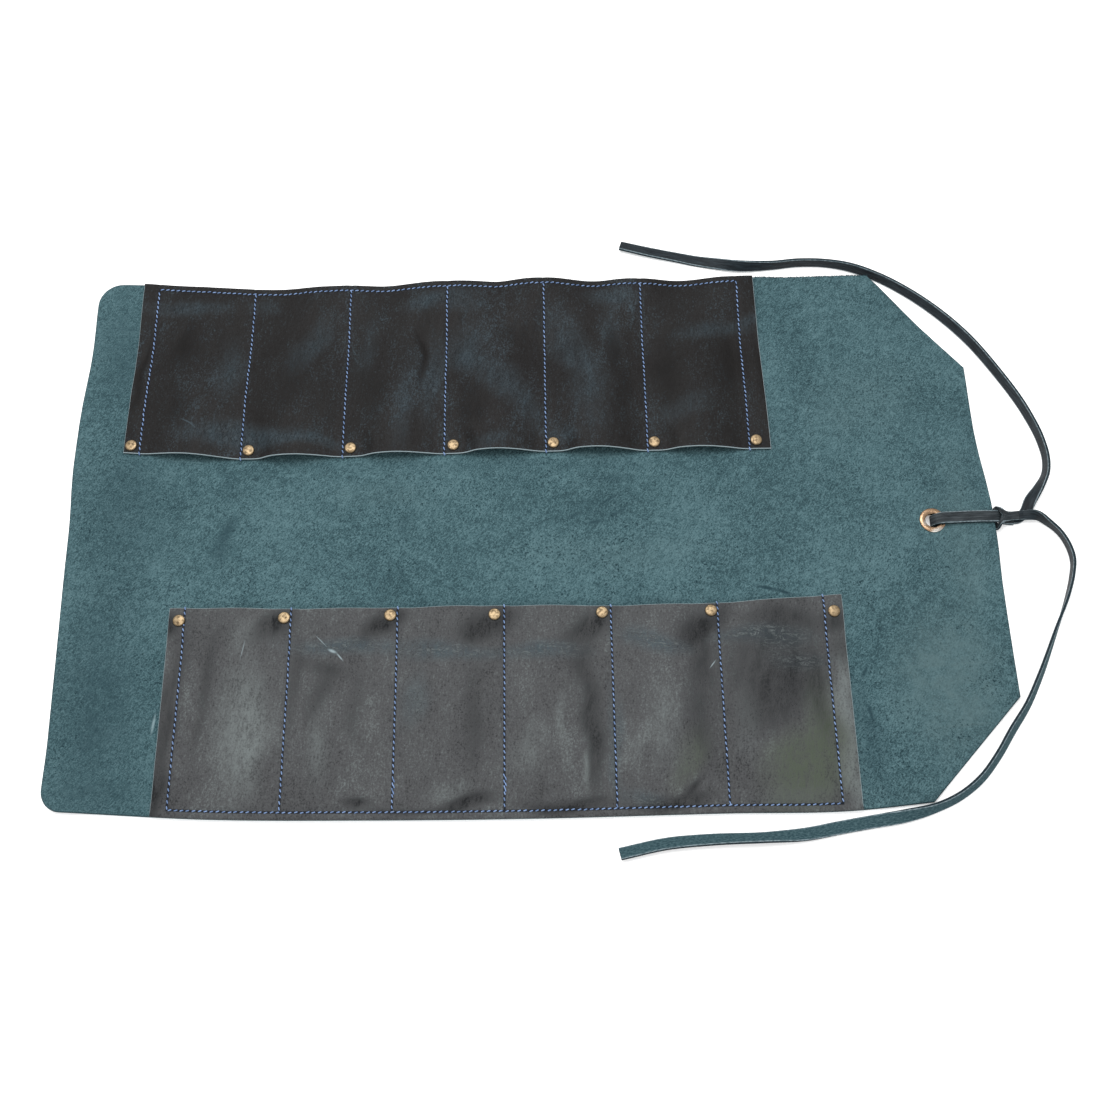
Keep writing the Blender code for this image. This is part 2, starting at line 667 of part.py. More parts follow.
def lace_loop(finish, edge_x):
    """The strand over the panel, down through the eyelet and back under the panel to its edge."""
    over = LACE_ROOM + BODY_WALL + GAP + LACE_WALL / 2
    flange_top = over + EYELET_FLANGE + GAP
    low = LACE_WALL / 2
    middle = LACE_ROOM + BODY_WALL / 2
    squeezed = 0.88
    knot_x = BODY_LENGTH / 2 + UPPER_TAIL[0].x * TAIL_UNIT - GAP
    path = (
        Strand(knot_x, LACE_Y, low, 1.0),
        Strand((edge_x + 0.0058 + knot_x) / 2, LACE_Y, low + 0.0007, 1.0),
        Strand(edge_x + 0.0058, LACE_Y, over - 0.0040, 1.0),
        Strand(edge_x + 0.0036, LACE_Y, over - 0.0018, 1.0),
        Strand(edge_x + 0.0012, LACE_Y, over - 0.0002, 1.0),
        Strand(edge_x - 0.0020, LACE_Y, over, 1.0),
        Strand(edge_x - 0.0160, LACE_Y, over, 1.0),
        Strand(EYELET_X + 0.0115, LACE_Y - 0.0006, over + 0.0004, 1.0),
        Strand(EYELET_X + 0.0080, LACE_Y - 0.0009, flange_top, 1.0),
        Strand(EYELET_X + 0.0044, LACE_Y - 0.0013, flange_top, 0.96),
        Strand(EYELET_X + 0.0021, LACE_Y - 0.0017, flange_top - 0.0005, 0.90),
        Strand(EYELET_X + 0.0002, EYELET_Y, flange_top - 0.0024, squeezed),
        Strand(EYELET_X - 0.0004, EYELET_Y, middle, squeezed),
        Strand(EYELET_X + 0.0002, EYELET_Y, low + 0.0016, squeezed),
        Strand(EYELET_X + 0.0022, EYELET_Y, low + 0.0003, 0.94),
        Strand(EYELET_X + 0.0050, EYELET_Y + 0.0005, low, 0.98),
        Strand(EYELET_X + 0.0110, LACE_Y, low, 1.0),
        Strand(edge_x - 0.0070, LACE_Y, low, 1.0),
    )
    table = np.array(path)
    centre = table[:, :3]
    along = np.gradient(centre, axis=0)
    along /= np.linalg.norm(along, axis=1)[:, None]
    across = np.tile([0.0, 1.0, 0.0], (len(centre), 1))
    through = np.cross(along, across)
    through /= np.linalg.norm(through, axis=1)[:, None]
    half_width = table[:, 3:] * LACE_WIDTH / 2
    return ribbon("lace_loop", centre, across * half_width, through * LACE_WALL / 2, finish)


def lace_slit(finish, edge_x):
    """The lace's slit end: two strips rise at the panel's edge, pass round the strand and close over it."""
    start = edge_x - 0.0067
    tail = LOWER_TAIL[0]
    knot_x = BODY_LENGTH / 2 + tail.x * TAIL_UNIT - GAP
    knot_y = tail.y * TAIL_UNIT
    knot_z = LACE_WALL / 2 + tail.rise * TAIL_UNIT
    rim_x = edge_x + 0.0070
    high = LACE_ROOM + BODY_WALL + GAP
    half = LACE_WIDTH / 2
    rows = (
        SlitRow(start, LACE_Y, LACE_WALL / 2, half, 0),
        SlitRow(edge_x - 0.0045, LACE_Y, LACE_WALL / 2, half, 0),
        SlitRow(edge_x - 0.0015, LACE_Y, LACE_WALL / 2, half * 1.7, half * 0.80),
        SlitRow(edge_x + 0.0013, LACE_Y, LACE_WALL / 2 + GAP, half * 2.15, half * 1.22),
        SlitRow(edge_x + 0.0028, LACE_Y, LACE_WALL + 0.0012, half * 2.25, half * 1.30),
        SlitRow(edge_x + 0.0040, LACE_Y, high - 0.0004, half * 2.10, half * 1.20),
        SlitRow(edge_x + 0.0058, LACE_Y, high + 0.0008, half * 1.60, half * 0.70),
        SlitRow(rim_x, LACE_Y + 0.0003, high + 0.0009, half * 1.25, 0),
        SlitRow(rim_x + (knot_x - rim_x) / 3, LACE_Y + 0.0006, (2 * high + knot_z) / 3, half * 1.05, 0),
        SlitRow(rim_x + (knot_x - rim_x) * 2 / 3, LACE_Y + 0.0012, knot_z + GAP, half, 0),
        SlitRow(knot_x, knot_y, knot_z, half, 0),
    )
    table = np.array(rows)
    path = table[:, [0, 2]]
    along = np.gradient(path, axis=0)
    along /= np.linalg.norm(along, axis=1)[:, None]
    normal = np.column_stack([-along[:, 1], along[:, 0]]) * LACE_WALL / 2
    points = []
    for level in (-1, 1):
        for column in (-table[:, 3], -table[:, 4], table[:, 4], table[:, 3]):
            x = path[:, 0] + level * normal[:, 0]
            z = path[:, 1] + level * normal[:, 1]
            points.append(np.column_stack([x, table[:, 1] + column, z]))
    points = np.array(points)
    count = len(rows)
    index = np.arange(8 * count).reshape(8, count)
    closed = table[:, 4] == 0
    for level in (0, 4):
        index[level + 2][closed] = index[level + 1][closed]
    faces = []
    for i in range(count - 1):
        for a, b in ((0, 1), (2, 3)):
            faces.append((index[a][i], index[b][i], index[b][i + 1], index[a][i + 1]))
            faces.append((index[a + 4][i + 1], index[b + 4][i + 1], index[b + 4][i], index[a + 4][i]))
        faces.append((index[0][i + 1], index[4][i + 1], index[4][i], index[0][i]))
        faces.append((index[3][i], index[7][i], index[7][i + 1], index[3][i + 1]))
        if not (closed[i] and closed[i + 1]):
            faces.append((index[1][i], index[5][i], index[5][i + 1], index[1][i + 1]))
            faces.append((index[2][i + 1], index[6][i + 1], index[6][i], index[2][i]))
    for i, turn in ((0, 1), (count - 1, -1)):
        for a, b in ((0, 1), (2, 3)):
            faces.append((index[a][i], index[a + 4][i], index[b + 4][i], index[b][i])[::turn])
    used, local = np.unique(np.concatenate([list(f) for f in faces]), return_inverse=True)
    sizes = [len(f) for f in faces]
    split = np.split(local.reshape(-1), np.cumsum(sizes)[:-1])
    return add_object("lace_slit", points.reshape(-1, 3)[used], split, finish)


def build():
    clear_scene()
    suede = material("suede", (0.075, 0.150, 0.165), 0.92)
    pocket = material("pocket_leather", (0.028, 0.032, 0.036), 0.48)
    lace = material("lace_leather", (0.030, 0.036, 0.040), 0.55)
    brass = material("rivet_brass", (0.42, 0.30, 0.16), 0.38, 1.0)
    copper = material("eyelet_brass", (0.52, 0.34, 0.19), 0.36, 1.0)

    outline = body_outline()
    upper = PocketPanel(1, UPPER_SHIFT, UPPER_DEPTH, UPPER_FLARE, UPPER_SEAMS, UPPER_BULGES, outline)
    lower = PocketPanel(-1, LOWER_SHIFT, LOWER_DEPTH, 0.0, LOWER_SEAMS, LOWER_BULGES, outline)
    panels = (upper, lower)
    rivets = np.vstack([panel.rivets for panel in panels])
    eyelet = np.array([EYELET_X, EYELET_Y])
    holes = [circle(place, RIVET_HOLE, 8) for place in rivets] + [circle(eyelet, EYELET_HOLE, 16)]
    pads = [circle(place, RIVET_PAD, 10) for place in rivets] + [circle(eyelet, EYELET_PAD, 16)]
    plan, triangles = plan_mesh(outline, panels, holes, pads)

    def ground(points):
        return ground_height(points, rivets)

    def body_top(points):
        return ground(points) + BODY_WALL * slope_factor(points, ground)

    sheet("body_panel", plan, chosen(plan, triangles, outline, holes), ground, body_top, suede)
    for name, panel in (("upper_pocket_panel", upper), ("lower_pocket_panel", lower)):

        def under(points, panel=panel):
            return body_top(points) + GAP + panel.bulge(points)

        def over(points, panel=panel):
            return under(points, panel) + POCKET_WALL * slope_factor(points, lambda p: under(p, panel))

        sheet(name, plan, chosen(plan, triangles, panel.loop, holes), under, over, pocket)

    names = [f"{row}_rivet_{i + 1}" for row in ("upper", "lower") for i in range(POCKET_COUNT + 1)]
    for name, place in zip(names, rivets):
        height = float(ground(place[None])[0])
        turned(name, rivet_profile(), RIVET_SIDES, (place[0], place[1], height), brass)
    turned("eyelet", eyelet_profile(), EYELET_SIDES, (EYELET_X, EYELET_Y, LACE_ROOM), copper)

    beside = outline[np.abs(outline[:, 1] - LACE_Y) < LACE_WIDTH * 2]
    edge_x = float(beside[beside[:, 0] > 0][:, 0].max()) + GAP
    lace_loop(lace, edge_x)
    lace_slit(lace, edge_x)
    for name, rows in (("lace_tail_upper", UPPER_TAIL), ("lace_tail_lower", LOWER_TAIL)):
        ribbon(name, *tail_stations(rows), lace)


build()
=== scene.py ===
"""Looks of an opened leather tool roll: suede body, two rows of stitched pockets, rivets, eyelet, lace.

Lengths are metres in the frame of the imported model: +X towards the laced end, +Y away from the viewer,
+Z up. Every surface is a height or a section worked out on a grid of two parameters.
"""

import math
from collections import namedtuple

import bpy
import numpy as np
from mathutils import Matrix, Vector


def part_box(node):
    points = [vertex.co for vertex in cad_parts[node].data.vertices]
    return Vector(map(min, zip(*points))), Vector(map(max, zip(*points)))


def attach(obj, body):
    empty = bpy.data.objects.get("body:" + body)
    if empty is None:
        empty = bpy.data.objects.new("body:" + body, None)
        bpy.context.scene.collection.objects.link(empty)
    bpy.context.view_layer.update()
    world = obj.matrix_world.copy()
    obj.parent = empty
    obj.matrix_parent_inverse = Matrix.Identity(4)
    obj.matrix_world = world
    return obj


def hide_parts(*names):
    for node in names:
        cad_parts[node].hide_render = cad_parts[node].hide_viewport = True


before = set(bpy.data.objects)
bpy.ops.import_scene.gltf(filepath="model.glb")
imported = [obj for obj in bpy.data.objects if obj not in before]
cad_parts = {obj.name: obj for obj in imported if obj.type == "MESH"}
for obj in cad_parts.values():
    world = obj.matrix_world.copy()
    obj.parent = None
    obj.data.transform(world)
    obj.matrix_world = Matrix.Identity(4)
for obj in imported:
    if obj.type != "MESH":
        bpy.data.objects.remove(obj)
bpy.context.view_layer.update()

MM = 0.001
UP = np.array([0.0, 0.0, 1.0])

# Clearance between pieces that touch
CLEARANCE = 0.0003

# Camera: where it looks, from how far, and how it is turned
CAMERA_TARGET = (0.0131, -0.0159, 0.0)
CAMERA_DISTANCE = 0.857
CAMERA_ELEVATION = 68.0
CAMERA_YAW = 0.01
CAMERA_ROLL = -0.932
CAMERA_LENS_MM = 42.107
CAMERA_SENSOR_MM = 36.0

# Body panel, with half its length and width read from the frame; here and below, a raw or clear stretch is
# given as a core and a fade beyond it
HALF = np.array(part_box("body_panel")[1])[:2]
BODY_WALL = 0.0022
BODY_STEP = 0.0025
BODY_ROUND = 0.0008
BODY_RAW = (0.0002, 0.0010)
CORNER_RADIUS = 0.014
LACED_END_STEPS = 80
SLOPE_STEP = 0.0005

# Pocket panels
POCKET_COUNT = 6
SEAM_PITCH = 0.0692
SEAM_MARGIN = 0.0124
EDGE_SEAM = 0.0045
UPPER_DEPTH = 0.142
LOWER_DEPTH = 0.1375
UPPER_SHIFT = -0.0577
LOWER_SHIFT = -0.0173
UPPER_FLARE = 0.0023
UPPER_TRIM = 0.0014
LOWER_TRIM = 0.0020
PANEL_LENGTH = 2 * SEAM_MARGIN + POCKET_COUNT * SEAM_PITCH
POCKET_WALL = 0.0018
POCKET_STEP = 0.0016
POCKET_ROUND = 0.0006
POCKET_RAW = (0.00012, 0.00042)
OUTER_RAW = (EDGE_SEAM - 0.0020, 0.0010)
POCKET_BULGE = 0.0070
ARCH_POWER_ACROSS = 1.6
ARCH_POWER_DOWN = 0.7
FLARE_SHARE = 0.02
GROOVE_DEPTH = 0.00035
GROOVE_WIDTH = 0.0013
RIVET_INSET = 0.0062
DENT_DEPTH = 0.0009
DENT_RISE = 0.0004
DENT_FADE = 0.005
SEAM_CLEAR = (0.001, 0.004)
SEWN_STRIPE = (0.0004, 0.0011)

# Waves of the leather
WAVE_HEIGHT = 0.0055
PAD_FADE = 0.014
LACE_FADE = 0.040

# Stitches: lifts, the dip of their ends, and what stands out at a mouth are shares of STITCH_RADIUS
STITCH_PITCH = 0.0037
UPPER_STITCH = 0.0033
LOWER_STITCH = 0.0029
STITCH_RADIUS = 0.00042
STITCH_LEAD = 0.05 * STITCH_PITCH
STITCH_LIFT = 0.35
STITCH_LIFT_BENEATH = 0.55
STITCH_DIP = 1.1
MOUTH_STITCH_OUT = 0.8
MOUTH_STITCH_OVERHANG = 2.4
STITCH_SLANT = 0.34
STITCH_STRAY = 0.0001
STITCH_TURN_STRAY = 0.05
STITCH_SLOPE_STEP = 0.0010
STITCH_STEEPEST = 0.5
DOUBLED_STITCHES = slice(-5, -2)
DOUBLED_ASIDE = 0.0007
ROD_SIDES = 7
ROD_RINGS = 7

# Torn fibres along the far edge, beside the pockets
FIBRE_COUNT = 420
FIBRE_LENGTH = 0.0017
FIBRE_RADIUS = 0.00012
FIBRE_ROOT = 0.0003
FIBRE_BELOW_TOP = (0.0001, 0.0012)
FIBRE_LEAN = 1.1
FIBRE_SLOPE = (-0.3, 0.5)

# Metal, with a round given as (inwards, upwards)
RIVET_RADIUS = 0.0040
RIVET_CAP = 0.0013
RIVET_BASE = 0.0009
RIVET_POST = 0.0014
RIVET_FOOT_ROUND = (0.0005, 0.0003)
RIVET_LIP = 0.00015
RIVET_SHOULDER = (0.20 * RIVET_RADIUS, 0.0009)
RIVET_CROWN = 0.00025
RIVET_CROWN_POWER = 2.4
EYELET_RADIUS = 0.00865
EYELET_BORE = 0.00485
EYELET_FLANGE = 0.0007
EYELET_TUBE = 0.00045
EYELET_FOOT_OUTER = 0.0003
EYELET_FOOT_INNER = 0.0006
EYELET_FOOT_DROP = 0.0002
EYELET_BEAD_POWER = 0.75
EYELET_Y = -0.0014
EYELET_X = HALF[0] - 0.0418
EYELET_PAD = EYELET_RADIUS + 2 * CLEARANCE
EYELET_HOLE = EYELET_BORE + EYELET_TUBE + CLEARANCE
HOLE_CELLS = 4
HOLE_RINGS = (0.3, 0.6, 0.85, 1.0)
TURNED_SIDES = 56
RIM_STEPS = 5
CROWN_STEPS = 9
BEAD_STEPS = 13

# Lace
LACE_WIDTH = 0.0082
LACE_WALL = 0.0019
LACE_ROUND = 0.00035
LACE_FLAT_STEPS = 9
LACE_ARC_STEPS = 4
LACE_STEPS = 12
KNOT_STEPS = 6
LACE_ROOM = LACE_WALL + EYELET_FLANGE + 3 * CLEARANCE
LACE_Y = EYELET_Y + 0.0019
SLIT_LEAD = 0.0067
SLIT_STRIPS_APART = 0.002
LACE_PINCH = 0.78
PINCH_REACH = 0.022

# Floor and surround: the floor drops a little under the plane that the roll rests on
FLOOR_HALF = 3.0
FLOOR_DROP = 0.00025
FLOOR_GLOW = 0.35
SURROUND_STRENGTH = 0.75

# Angles, in degrees, past which an edge between two faces is drawn sharp
SOFT_CREASE = 60
LACE_CREASE = 50
METAL_CREASE = 35
FIBRE_CREASE = 80

Corner = namedtuple("Corner", "x y radius")
Bow = namedtuple("Bow", "along out")
Fold = namedtuple("Fold", "x y core_x core_y fade_x fade_down fade_up height")
TailPoint = namedtuple("TailPoint", "x y roll rise")
Strand = namedtuple("Strand", "x y z width")
SlitRow = namedtuple("SlitRow", "x y z outer inner")
Mark = namedtuple("Mark", "tone x y long wide turn amount")
Uneven = namedtuple("Uneven", "height wave seed")
Softbox = namedtuple("Softbox", "name place size energy")

# Unevenness: the height and wavelength of soft random ripples; the lace's is a share of its width
SUEDE_NAP = (Uneven(0.00012, 0.018, 3), Uneven(0.00008, 0.007, 5))
POCKET_DENTS = (Uneven(0.00022, 0.030, 17), Uneven(0.00010, 0.009, 27))
LACE_CUT = (Uneven(0.03, 0.05, 11),)
MARK_STRAY_X = (Uneven(0.006, 0.050, 61),)
MARK_STRAY_Y = (Uneven(0.006, 0.050, 62),)

# How much of a mark is at full strength: one laid as a patch in a material, and one held per point of a
# piece
PATCH_CORE = 0.15
MARK_CORE = 0.05

# Lights: where each stands, its size, and its strength in watts
SOFTBOXES = (
    Softbox("overhead_box", (-0.20, 0.55, 1.55), (1.5, 1.1), 26.0),
    Softbox("front_fill", (0.6, -1.4, 1.2), (1.2, 0.8), 5.0),
)

# Corners of the body panel, anticlockwise from the lower left, as shares of half its length and width
CORNERS = (
    Corner(-0.981, -0.954, 1.0),
    Corner(0.797, -0.969, 0.0),
    Corner(1.000, -0.629, 0.0),
    Corner(0.987, 0.600, 0.0),
    Corner(0.790, 0.990, 0.0),
    Corner(-0.995, 1.000, 1.3),
)

# How each side bows outwards: along is a share of the side, out is a share of half the width
BOWS = (
    (
        Bow(0.06, 0.009),
        Bow(0.17, 0.028),
        Bow(0.37, 0.038),
        Bow(0.55, 0.038),
        Bow(0.77, 0.028),
        Bow(0.91, 0.024),
    ),
    (),
    (Bow(0.18, 0.003), Bow(0.34, 0.007), Bow(0.51, 0.009), Bow(0.64, 0.006), Bow(0.76, -0.003)),
    (),
    (
        Bow(0.03, 0.001),
        Bow(0.09, 0.008),
        Bow(0.13, 0.008),
        Bow(0.155, 0.000),
        Bow(0.26, -0.008),
        Bow(0.42, -0.002),
        Bow(0.55, -0.008),
        Bow(0.66, -0.018),
        Bow(0.77, -0.024),
        Bow(0.90, -0.002),
    ),
    (Bow(0.12, 0.004), Bow(0.35, 0.016), Bow(0.56, 0.015), Bow(0.75, 0.007), Bow(0.91, 0.001)),
)

# Waves: x, core_x and fade_x are shares of half the length, the other places and reaches of half the width
FOLDS = (
    Fold(-0.26, 0.335, 0.65, 0.080, 0.84, 0.26, 0.39, 1.00),
    Fold(-0.97, 1.000, 0.03, 0.030, 0.16, 0.36, 0.10, 0.75),
    Fold(-0.45, 1.000, 0.02, 0.030, 0.11, 0.31, 0.10, 0.60),
    Fold(-0.19, 1.000, 0.02, 0.030, 0.13, 0.31, 0.10, 0.75),
    Fold(0.03, 1.000, 0.01, 0.030, 0.11, 0.31, 0.10, 0.95),
    Fold(0.25, 1.000, 0.01, 0.030, 0.09, 0.31, 0.10, 0.75),
    Fold(0.47, 1.000, 0.01, 0.030, 0.11, 0.31, 0.10, 0.80),
    Fold(0.78, 1.000, 0.02, 0.030, 0.16, 0.28, 0.10, 0.65),
    Fold(-0.98, -0.960, 0.01, 0.020, 0.15, 0.10, 0.22, 0.35),
)

# How far the mouth lies off its straight line at each seam, from the left, as shares of RIVET_INSET
UPPER_MOUTHS = (0.78, -0.25, -0.16, 0.00, 0.10, 0.00, 0.05)
LOWER_MOUTHS = (0.37, 0.04, -0.03, 0.03, -0.17, -0.05, 0.75)

# How high each pocket arches, as shares of POCKET_BULGE
UPPER_BULGES = (0.80, 0.95, 0.80, 0.95, 1.05, 0.85)
LOWER_BULGES = (0.40, 0.36, 0.42, 0.40, 0.42, 0.38)

# The lace's loose ends, from the knot to the cut end, in millimetres and degrees, x from the laced end
UPPER_TAIL = (
    TailPoint(13.6, 0.5, 0, 0.0),
    TailPoint(15.6, 0.5, 0, 0.0),
    TailPoint(21.4, 4.4, 0, 0.0),
    TailPoint(26.9, 13.6, -26, 0.0),
    TailPoint(34.0, 23.4, -56, 0.0),
    TailPoint(39.5, 33.0, -74, 0.0),
    TailPoint(41.5, 44.0, -82, 0.0),
    TailPoint(40.2, 57.0, -82, 0.0),
    TailPoint(33.4, 79.5, -80, 0.0),
    TailPoint(17.5, 112.0, -76, 0.0),
    TailPoint(0.4, 139.5, -74, 0.0),
    TailPoint(-18.0, 160.8, -74, 0.0),
    TailPoint(-37.4, 178.0, -76, 0.0),
    TailPoint(-57.5, 191.5, -80, 0.0),
    TailPoint(-78.0, 200.6, -82, 0.0),
    TailPoint(-95.0, 204.0, -85, 0.0),
    TailPoint(-113.0, 204.6, -84, 0.0),
    TailPoint(-134.0, 202.6, -78, 0.0),
    TailPoint(-155.0, 202.9, -50, 0.0),
    TailPoint(-177.0, 207.2, -10, 0.0),
    TailPoint(-199.0, 212.2, 5, 0.0),
    TailPoint(-220.5, 217.4, 10, 0.0),
    TailPoint(-242.0, 223.4, 14, 0.0),
)
LOWER_TAIL = (
    TailPoint(17.3, 2.2, 0, 2.3),
    TailPoint(19.9, 2.3, 0, 2.3),
    TailPoint(23.6, 2.3, 14, 2.0),
    TailPoint(28.8, 1.2, 62, 1.0),
    TailPoint(35.6, -3.6, 89, 0.1),
    TailPoint(41.5, -10.0, 96, 0.0),
    TailPoint(46.0, -19.5, 96, 0.0),
    TailPoint(47.6, -30.0, 94, 0.0),
    TailPoint(45.0, -42.0, 92, 0.0),
    TailPoint(40.3, -54.6, 94, 0.0),
    TailPoint(28.4, -79.2, 108, 0.0),
    TailPoint(12.6, -111.0, 118, 0.0),
    TailPoint(2.8, -128.0, 120, 0.0),
    TailPoint(-9.4, -144.5, 124, 0.0),
    TailPoint(-20.5, -160.2, 122, 0.0),
    TailPoint(-33.0, -174.4, 120, 0.0),
    TailPoint(-48.0, -185.2, 118, 0.0),
    TailPoint(-64.0, -192.0, 122, 0.0),
    TailPoint(-82.0, -196.2, 150, 0.0),
    TailPoint(-101.0, -199.0, 176, 0.0),
    TailPoint(-121.0, -202.2, 180, 0.0),
    TailPoint(-144.0, -206.2, 192, 0.0),
    TailPoint(-166.0, -207.8, 215, 0.0),
    TailPoint(-202.5, -208.7, 210, 0.0),
    TailPoint(-228.0, -210.6, 206, 0.0),
    TailPoint(-257.4, -216.4, 204, 0.0),
)

# Colours of the rough side: the nap from deep to light, then what is laid on it; dark and pale serve both
# real marks and painted shade and light
SUEDE_TONES = {
    "deep": (0.028, 0.058, 0.068),
    "ground": (0.055, 0.109, 0.123),
    "light": (0.094, 0.168, 0.186),
    "dark": (0.020, 0.045, 0.056),
    "pale": (0.088, 0.142, 0.150),
    "scratch": (0.230, 0.320, 0.345),
    "pit": (0.012, 0.030, 0.038),
    "edge": (0.020, 0.044, 0.052),
}

# Colours of the waxed side. Both rows are the same leather: the far row keeps the darker colours, and the
# near row's are painted lighter to stand for the sheen it catches
DARK_TONES = {
    "dark": (0.0050, 0.0042, 0.0040),
    "ground": (0.0110, 0.0104, 0.0104),
    "pale": (0.038, 0.055, 0.066),
    "scratch": (0.100, 0.150, 0.170),
}
PAINTED_SHEEN_TONES = {
    "dark": (0.0090, 0.0100, 0.0110),
    "ground": (0.0545, 0.0565, 0.0590),
    "pale": (0.124, 0.141, 0.141),
    "slate": (0.038, 0.057, 0.068),
    "green": (0.058, 0.071, 0.053),
    "scratch": (0.280, 0.350, 0.375),
}
RAW_EDGE = (0.340, 0.420, 0.450)
# Painted shade of the stitch holes: a dark navy stripe along the seams, under the thread
STITCH_HOLE_SHADE = (0.0020, 0.0034, 0.0080)

# Colours of the lace: its grain side on the loose ends and, lighter, on the strand and slit end at the knot,
# its rough side, its cut
LOOSE_LACE = ((0.005, 0.008, 0.011), (0.020, 0.030, 0.037))
KNOT_LACE = ((0.012, 0.016, 0.019), (0.046, 0.056, 0.062))
LACE_FLESH = ((0.018, 0.044, 0.054), (0.058, 0.105, 0.118))
LACE_RAW = ((0.080, 0.115, 0.130), (0.260, 0.320, 0.350))
LACE_CORE = (0.014, 0.024, 0.030)

# Colours of the thread, and of each metal where it is bright and where it is brown
THREAD = ((0.098, 0.162, 0.305), (0.185, 0.280, 0.480))
RIVET_BRASS = ((0.250, 0.186, 0.112), (0.095, 0.068, 0.041))
EYELET_BRASS = ((0.34, 0.225, 0.140), (0.10, 0.058, 0.036))
# Painted highlight on the eyelet's rim
PAINTED_HIGHLIGHT_SILVER = (0.700, 0.690, 0.650)
FLOOR_PAPER = (0.90, 0.90, 0.90)

# Marks on the leather, and painted shade and light: place, half length and half width in millimetres, turn
# in degrees from +X, strength
SUEDE_MARKS_AND_SHADING = (
    Mark("dark", -202, 29, 20, 11, 80, 0.34),
    Mark("dark", -200, 0, 13, 8, 65, 0.70),
    Mark("dark", -206, -13, 18, 11, 50, 0.45),
    Mark("dark", -83, 5, 15, 8, 70, 0.40),
    Mark("dark", 54, 32, 18, 7, 10, 0.40),
    Mark("dark", 48, 12, 34, 14, 10, 0.26),
    Mark("dark", 211, -140, 56, 12, 96, 0.45),
    # The next four: painted shade, darker towards the left end
    Mark("dark", -276, -120, 120, 46, 92, 0.52),
    Mark("dark", -262, -175, 60, 22, 0, 0.34),
    Mark("dark", -270, 20, 80, 46, 90, 0.36),
    Mark("dark", -288, 140, 70, 26, 90, 0.45),
    # The next two: painted shade in long bands along the pocket mouths
    Mark("dark", 0, -56, 240, 7, 0, 0.22),
    Mark("dark", -40, 44, 240, 6, 0, 0.22),
    Mark("pale", 60, -20, 90, 20, 0, 0.16),
    # The next three: painted light, the right end lighter
    Mark("pale", 230, 90, 60, 40, 20, 0.20),
    Mark("pale", 266, -110, 50, 70, 0, 0.62),
    Mark("pale", 286, -20, 24, 90, 0, 0.30),
    Mark("pale", -100, 24, 50, 16, 0, 0.16),
)
SUEDE_SCRATCHES = (
    Mark("dark", 30, 8, 9, 2, 20, 0.55),
    Mark("dark", 44, 3, 8, 2, 15, 0.70),
    Mark("dark", 58, 9, 9, 2, 25, 0.60),
    Mark("dark", 54, 19, 12, 1.2, 30, 0.70),
    Mark("dark", 155, -46, 11, 1.9, -12, 0.95),
    Mark("dark", 166, -49, 8, 1.9, -20, 0.95),
    Mark("dark", 213, -104, 7, 1.6, 60, 0.85),
    Mark("dark", 214, -132, 9, 1.8, 100, 0.80),
    Mark("scratch", -239, -131, 9, 1.3, 84, 0.75),
    Mark("dark", -238, -39, 12, 1.0, 80, 0.60),
    Mark("pale", 270, -100, 46, 1.4, 3, 0.30),
    Mark("pale", 272, -140, 32, 1.4, 4, 0.28),
)
EYELET_HIGHLIGHTS = (
    # Painted highlights on the eyelet's rim, silvery: along its lower part and a spot at its left
    Mark("pale", 270.5, -9.2, 7.5, 2.8, 18, 0.85),
    Mark("pale", 263.0, -3.5, 2.0, 3.0, 0, 0.45),
)
